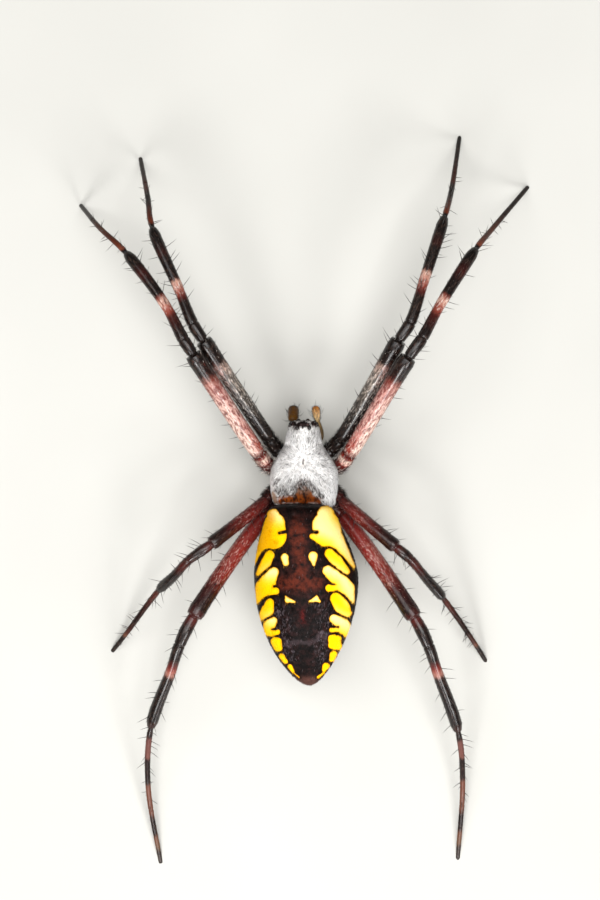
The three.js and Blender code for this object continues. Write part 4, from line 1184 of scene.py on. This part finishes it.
def buildCarapace():
    rows, radii = roundRows(carapace["rows"])
    body = skin("carapace_shell", rows, radii, carapace["sides"], carapacePlace, carapaceMaterial(),
                "silver_hair", ["carapace"])
    setMarks(body["mesh"], carapaceMarks(body["places"]))

    def weigh(places, normals):
        return coatShare(places) * (normals[:, 2] > 0.02)

    count = carapaceCoat["count"]
    roots, normals, patches = scatter(body, count, weigh)
    # Locks: the tips of the hairs round each of these places lean together.
    places, _, _ = scatter(body, carapaceCoat["locks"], weigh)
    swirl = draw.normal(0, carapaceCoat["swirl"], len(places))[:, None]
    flow = carapaceFlow(places)
    tips = places + (flow + np.cross([0, 0, 1], flow) * swirl) * carapaceCoat["lockReach"]
    tree = KDTree(len(places))
    for index, spot in enumerate(places):
        tree.insert(spot, index)
    tree.balance()
    lock = np.array([tree.find(root)[1] for root in roots])
    lies = unit(tips[lock] - roots) + carapaceCoat["flow"] * carapaceFlow(roots)
    lies = unit(lies + draw.normal(0, carapaceCoat["stray"], roots.shape))
    right = smoothStep(-roots[:, 0], 2.2, 3.1)
    shorter = np.interp(roots[:, 1], [-7.6, -6.4], [0.55, 1])
    longer = 1 + carapaceCoat["rightLonger"] * right
    length = draw.uniform(*carapaceCoat["length"], count) * shorter * longer
    # A hair whose tip would lie over bare shell or an eye is left out.
    marks = carapaceMarks(roots)
    brow = marks["brow"] > 0
    kept = (coatShare(roots + lies * length[:, None]) > draw.uniform(0.04, 0.7, count)) | brow
    length = np.where(brow, carapaceCoat["browLength"], length)
    width = draw.uniform(*carapaceCoat["width"], count)
    lift = np.radians(draw.uniform(*carapaceCoat["lift"], count) + carapaceCoat["rightLift"] * right)
    hair = {"lie": lies[kept], "length": length[kept], "width": width[kept], "lift": lift[kept]}
    # Painted shade: the hairs turn pinkish grey towards the left edge; those between the eyes are pinkish.
    pinkAndShade = 0.05 * smoothStep(roots[:, 0], -0.5, 2) + 0.3 * smoothStep(roots[:, 0], 2.5, 3.2) + 0.45 * brow
    # Dark hairs are mixed in.
    near = 1 - smoothStep(touchDistance(roots[:, 0], roots[:, 1], carapace["bare"][0]), 0, 0.5)
    middle = (1 - smoothStep(np.abs(roots[:, 0]), 1.5, 2.9)) * smoothStep(roots[:, 1], -7.2, -6.6)
    dusk = draw.random(count) < np.maximum.reduce([
        carapaceCoat["wedgeFlecks"] * near * (roots[:, 1] < -0.2), carapaceCoat["thinFlecks"] * marks["thin"],
        carapaceCoat["flecks"] * middle])
    coat("carapace_coat", roots[kept], normals[kept], patches[kept], hair, silverMaterial(),
         {"pinkAndShade": pinkAndShade[kept], "dusk": dusk[kept].astype(float), "skinWay": normals[kept]})


def buildEyes():
    # Wet-looking black lenses with a brown depth.
    material = mottledMaterial("glossy eye lens", 0.06, [(0.3, "#050303"), (0.8, "#1d0f08")], 0.3, detail=1)
    for name, x, y, z, radius in eyes["rows"]:
        for side, sign in (("l", 1), ("r", -1)):
            shape = bmesh.new()
            bmesh.ops.create_uvsphere(shape, u_segments=24, v_segments=16, radius=radius * metre)
            bmesh.ops.translate(shape, verts=shape.verts,
                                vec=Vector((eyes["middleX"] + sign * x, waistY + y, z)) * metre)
            mesh = toMesh(shape, f"eye_{name}_{side}")
            toPiece(mesh, f"lens_{name}_{side}", material, [f"eye_{name}_{side}"])


buildCarapace()
buildEyes()
print("carapace and eyes built")

# Mouthparts, feelers, breast plate, waist and spinnerets

small = {
    "middleX": 0.05,
    "rows": 60,
    "sides": 26,
    # Centre lines; those of jaws and fangs hold for the left side and lie across from the middle.
    "jawLine": [(0.6, -6.85, 6.9), (0.6, -7.2, 5.7), (0.55, -7.45, 4.5)],
    "fangLine": [(0.56, -7.3, 4.3), (0.44, -6.95, 4.0), (0.34, -6.35, 4.05)],
    "feelerLeft": [(1.55, -5.9, 5.9), (1.5, -7, 6.3), (1.15, -8.15, 6.5), (1.04, -9.55, 5.4)],
    "feelerRight": [(-1.5, -5.9, 5.9), (-1.76, -6.9, 6.6), (-1.38, -8.15, 6.6), (-1.17, -9.58, 5.6)],
    "waistLine": [(0.1, -0.1, 6.4), (0.15, 0.4, 6.55), (0.2, 1.0, 6.65)],
    "moundLine": [(-0.2, 14.6, 5.2), (-0.2, 14.8, 4.7), (-0.2, 15.2, 4.1)],
    # Half widths by the share of the length.
    "jaw": [(0, 0.44), (0.2, 0.56), (0.6, 0.55), (0.9, 0.44), (1, 0.34)],
    "fang": [(0, 0.27), (0.4, 0.25), (0.8, 0.16), (1, 0.04)],
    "broadFeeler": [(0, 0.24), (0.2, 0.27), (0.52, 0.27), (0.56, 0.25), (0.6, 0.45), (0.66, 0.53),
                    (0.75, 0.55), (0.94, 0.54), (0.985, 0.5), (1, 0.44)],
    "slimFeeler": [(0, 0.24), (0.2, 0.27), (0.55, 0.26), (0.6, 0.23), (0.64, 0.28), (0.72, 0.35),
                   (0.82, 0.41), (0.94, 0.43), (0.98, 0.38), (1, 0.3)],
    "waist": [(0, 0.3), (0.5, 0.34), (1, 0.3)],
    "spinnerets": [(0, 0.78), (0.3, 0.72), (0.7, 0.5), (1, 0.3)],
    # Colours of the feelers from their tips back to the mouth.
    "olive": [(0, "#24170a"), (0.05, "#4e2e04"), (0.35, "#5e3a04"), (0.45, "#3c270b"), (1, "#24160a")],
    "tan": [(0, "#8a4a10"), (0.07, "#ab6520"), (0.14, "#d59a5c"), (0.22, "#dcae78"), (0.36, "#cfae7c"),
            (0.46, "#8f7448"), (0.6, "#54401f"), (1, "#3a2a14")],
    # Jaws of thick, shiny cuticle, fangs of smooth horn, waist and spinnerets of duller, soft skin:
    # name, roughness, darkest and palest tone.
    "cuticles": [("jaw shell", 0.3, "#120806", "#3a1c12"), ("fang horn", 0.2, "#100504", "#331009"),
                 ("dark soft skin", 0.5, "#140a07", "#35201a")],
    # Hair: its count, length and width, its lift in degrees, and how far along the piece it starts.
    "jawHair": (500, (0.25, 0.5), 0.03, (20, 60)),
    "feelerHair": (420, (0.2, 0.38), 0.026, (20, 55), 0.3),
    "feelerSpines": (34, (0.6, 1.0), 0.045, (35, 70), 0.5),
    "moundHair": (260, (0.15, 0.3), 0.026, (15, 45)),
}
plate = {
    "front": -6.3,
    "length": 6.0,
    "halfWidth": 1.5,
    "frontWidth": 0.72,  # share of the half width at its front
    "halfHeight": 0.875,
    "level": 6.075,
    "rows": 40,
    "sides": 48,
}


def feelerMaterial(name, stops):
    # Thin, half clear cuticle, its colour changing from the tip back.
    material, tree = newMaterial(name)
    where = add(tree, "TexCoord").outputs["Object"]
    mottle = add(tree, "TexNoise", {"Vector": where, "Scale": 1000 / 0.3, "Detail": 3})
    along = add(tree, "SeparateXYZ", {"Vector": where}).outputs["Y"]
    along = add(tree, "Math", {0: mottle, 1: 0.0004, 2: along}, operation="MULTIPLY_ADD")
    along = add(tree, "MapRange", {"Value": along, "From Min": -0.0094, "From Max": -0.0056})
    tone = add(tree, "ValToRGB", {"Fac": along}, stops=stops)
    dim = add(tree, "MapRange", {"Value": mottle, "From Min": 0.35, "From Max": 0.65, "To Min": 0.75,
                                 "To Max": 1})
    tone = add(tree, "VectorMath", {0: tone, "Scale": dim}, operation="SCALE")
    bump = add(tree, "Bump", {"Height": mottle, "Strength": 0.3, "Distance": 0.00004})
    shader = add(tree, "BsdfPrincipled", {"Base Color": tone, "Roughness": 0.4, "IOR": 1.5,
                                          "Specular IOR Level": 0.2, "Subsurface Weight": 0.1,
                                          "Subsurface Scale": 0.0003, "Normal": bump})
    add(tree, "OutputMaterial", {"Surface": shader})
    return material


def bentLimb(name, joints, outline, material, slot, nodes, start=0.0, inset=0.03):
    line = centreLine([(x, waistY + y, z) for x, y, z in joints])
    total = line["lengths"][-1]
    rows = np.linspace(start, total, small["rows"])
    radii = np.interp(rows / total, *zip(*outline)) - inset
    domed = [0, radii[0] * 0.6, *radii, radii[-1] * 0.6, 0]
    ends = [rows[0] - 0.02, rows[0] - 0.012, *rows, rows[-1] + 0.012, rows[-1] + 0.02]
    body = skin(name, ends, domed, small["sides"], lambda *place: aroundLine(line, *place), material, slot,
                nodes)
    body["line"] = line
    return body


def bristle(body, name, count, length, width, lift, start=0.0):
    roots, normals, patches = scatter(body, count, lambda places, _: np.ones(len(places)))
    kept = patches[:, 1] >= start
    roots, normals, patches = roots[kept], normals[kept], patches[kept]
    _, ahead, _, _ = frameAt(body["line"], patches[:, 1] * body["line"]["lengths"][-1])
    hair = {"lie": ahead + draw.normal(0, 0.15, roots.shape), "length": draw.uniform(*length, len(roots)),
            "width": width, "lift": np.radians(draw.uniform(*lift, len(roots)))}
    coat(name, roots, normals, patches, hair, spineMaterial)


def breastPlateMaterial():
    # Dark shield with a yellow stripe down its middle.
    material, tree = newMaterial("breast plate shell")
    where = add(tree, "TexCoord").outputs["Object"]
    parts = add(tree, "SeparateXYZ", {"Vector": where})
    aside = add(tree, "Math", {0: parts.outputs["X"], 1: 0.00005}, operation="SUBTRACT")
    aside = add(tree, "Math", {0: aside}, operation="ABSOLUTE")
    mottle = add(tree, "TexNoise", {"Vector": where, "Scale": 1000 / 0.6, "Detail": 3})
    aside = add(tree, "Math", {0: mottle, 1: 0.0006, 2: aside}, operation="MULTIPLY_ADD")
    stripe = add(tree, "MapRange", {"Value": aside, "From Min": 0.00075, "From Max": 0.00065})
    dark = add(tree, "ValToRGB", {"Fac": mottle}, stops=[(0.35, "#0f0706"), (0.65, "#2c1812")])
    colour = add(tree, "Mix", {0: stripe, 6: dark, 7: linear("#e0b020")}, data_type="RGBA")
    shader = add(tree, "BsdfPrincipled", {"Base Color": colour, "Roughness": 0.4, "IOR": 1.5})
    add(tree, "OutputMaterial", {"Surface": shader})
    return material


def platePlace(row, radius, angle):
    along = np.clip(row, 0, 1)
    rounding = fade(np.abs(2 * along - 1), 5, 0.5)
    widens = plate["frontWidth"] + (1 - plate["frontWidth"]) * smoothStep(along, 0.1, 0.5)
    halfWidth = plate["halfWidth"] * rounding * widens
    x = small["middleX"] + radius * np.cos(angle) * np.maximum(halfWidth - 0.03, 0)
    z = plate["level"] + radius * np.sin(angle) * np.maximum(plate["halfHeight"] * rounding - 0.02, 0)
    return np.stack([x, waistY + plate["front"] + plate["length"] * along, z], axis=1)


def buildSmallParts():
    jawShell, fangShell, darkSkin = (
        mottledMaterial(name, roughness, [(0.35, low), (0.65, high)], 0.5, bump=0.00005)
        for name, roughness, low, high in small["cuticles"])
    for side, sign, line, outline, tones in (("l", 1, "feelerLeft", "broadFeeler", "olive"),
                                             ("r", -1, "feelerRight", "slimFeeler", "tan")):
        jawLine, fangLine = ([(small["middleX"] + sign * x, y, z) for x, y, z in small[key]]
                             for key in ("jawLine", "fangLine"))
        jaw = bentLimb(f"jaw_{side}_shell", jawLine, small["jaw"], jawShell, "dark_shell", [f"jaw_{side}"])
        bristle(jaw, f"jaw_{side}_hair", *small["jawHair"])
        bentLimb(f"fang_{side}_horn", fangLine, small["fang"], fangShell, "dark_shell", [f"fang_{side}"],
                 start=0.12, inset=0.0)
        feeler = bentLimb(f"feeler_{side}_skin", small[line], small[outline],
                          feelerMaterial(f"feeler cuticle {side}", small[tones]), "feeler",
                          [f"feeler_{side}_thigh", f"feeler_{side}_tip"])
        bristle(feeler, f"feeler_{side}_hair", *small["feelerHair"])
        bristle(feeler, f"feeler_{side}_spines", *small["feelerSpines"])

    skin("breast_plate_shell", *roundRows(plate["rows"]), plate["sides"], platePlace, breastPlateMaterial(),
         "dark_shell", ["breast_plate"])
    bentLimb("waist_skin", small["waistLine"], small["waist"], darkSkin, "dark_shell", ["waist"])
    mound = bentLimb("spinneret_mound", small["moundLine"], small["spinnerets"], darkSkin, "dark_shell",
                     ["spinnerets"])
    bristle(mound, "spinneret_hair", *small["moundHair"])


buildSmallParts()
print("small parts built")
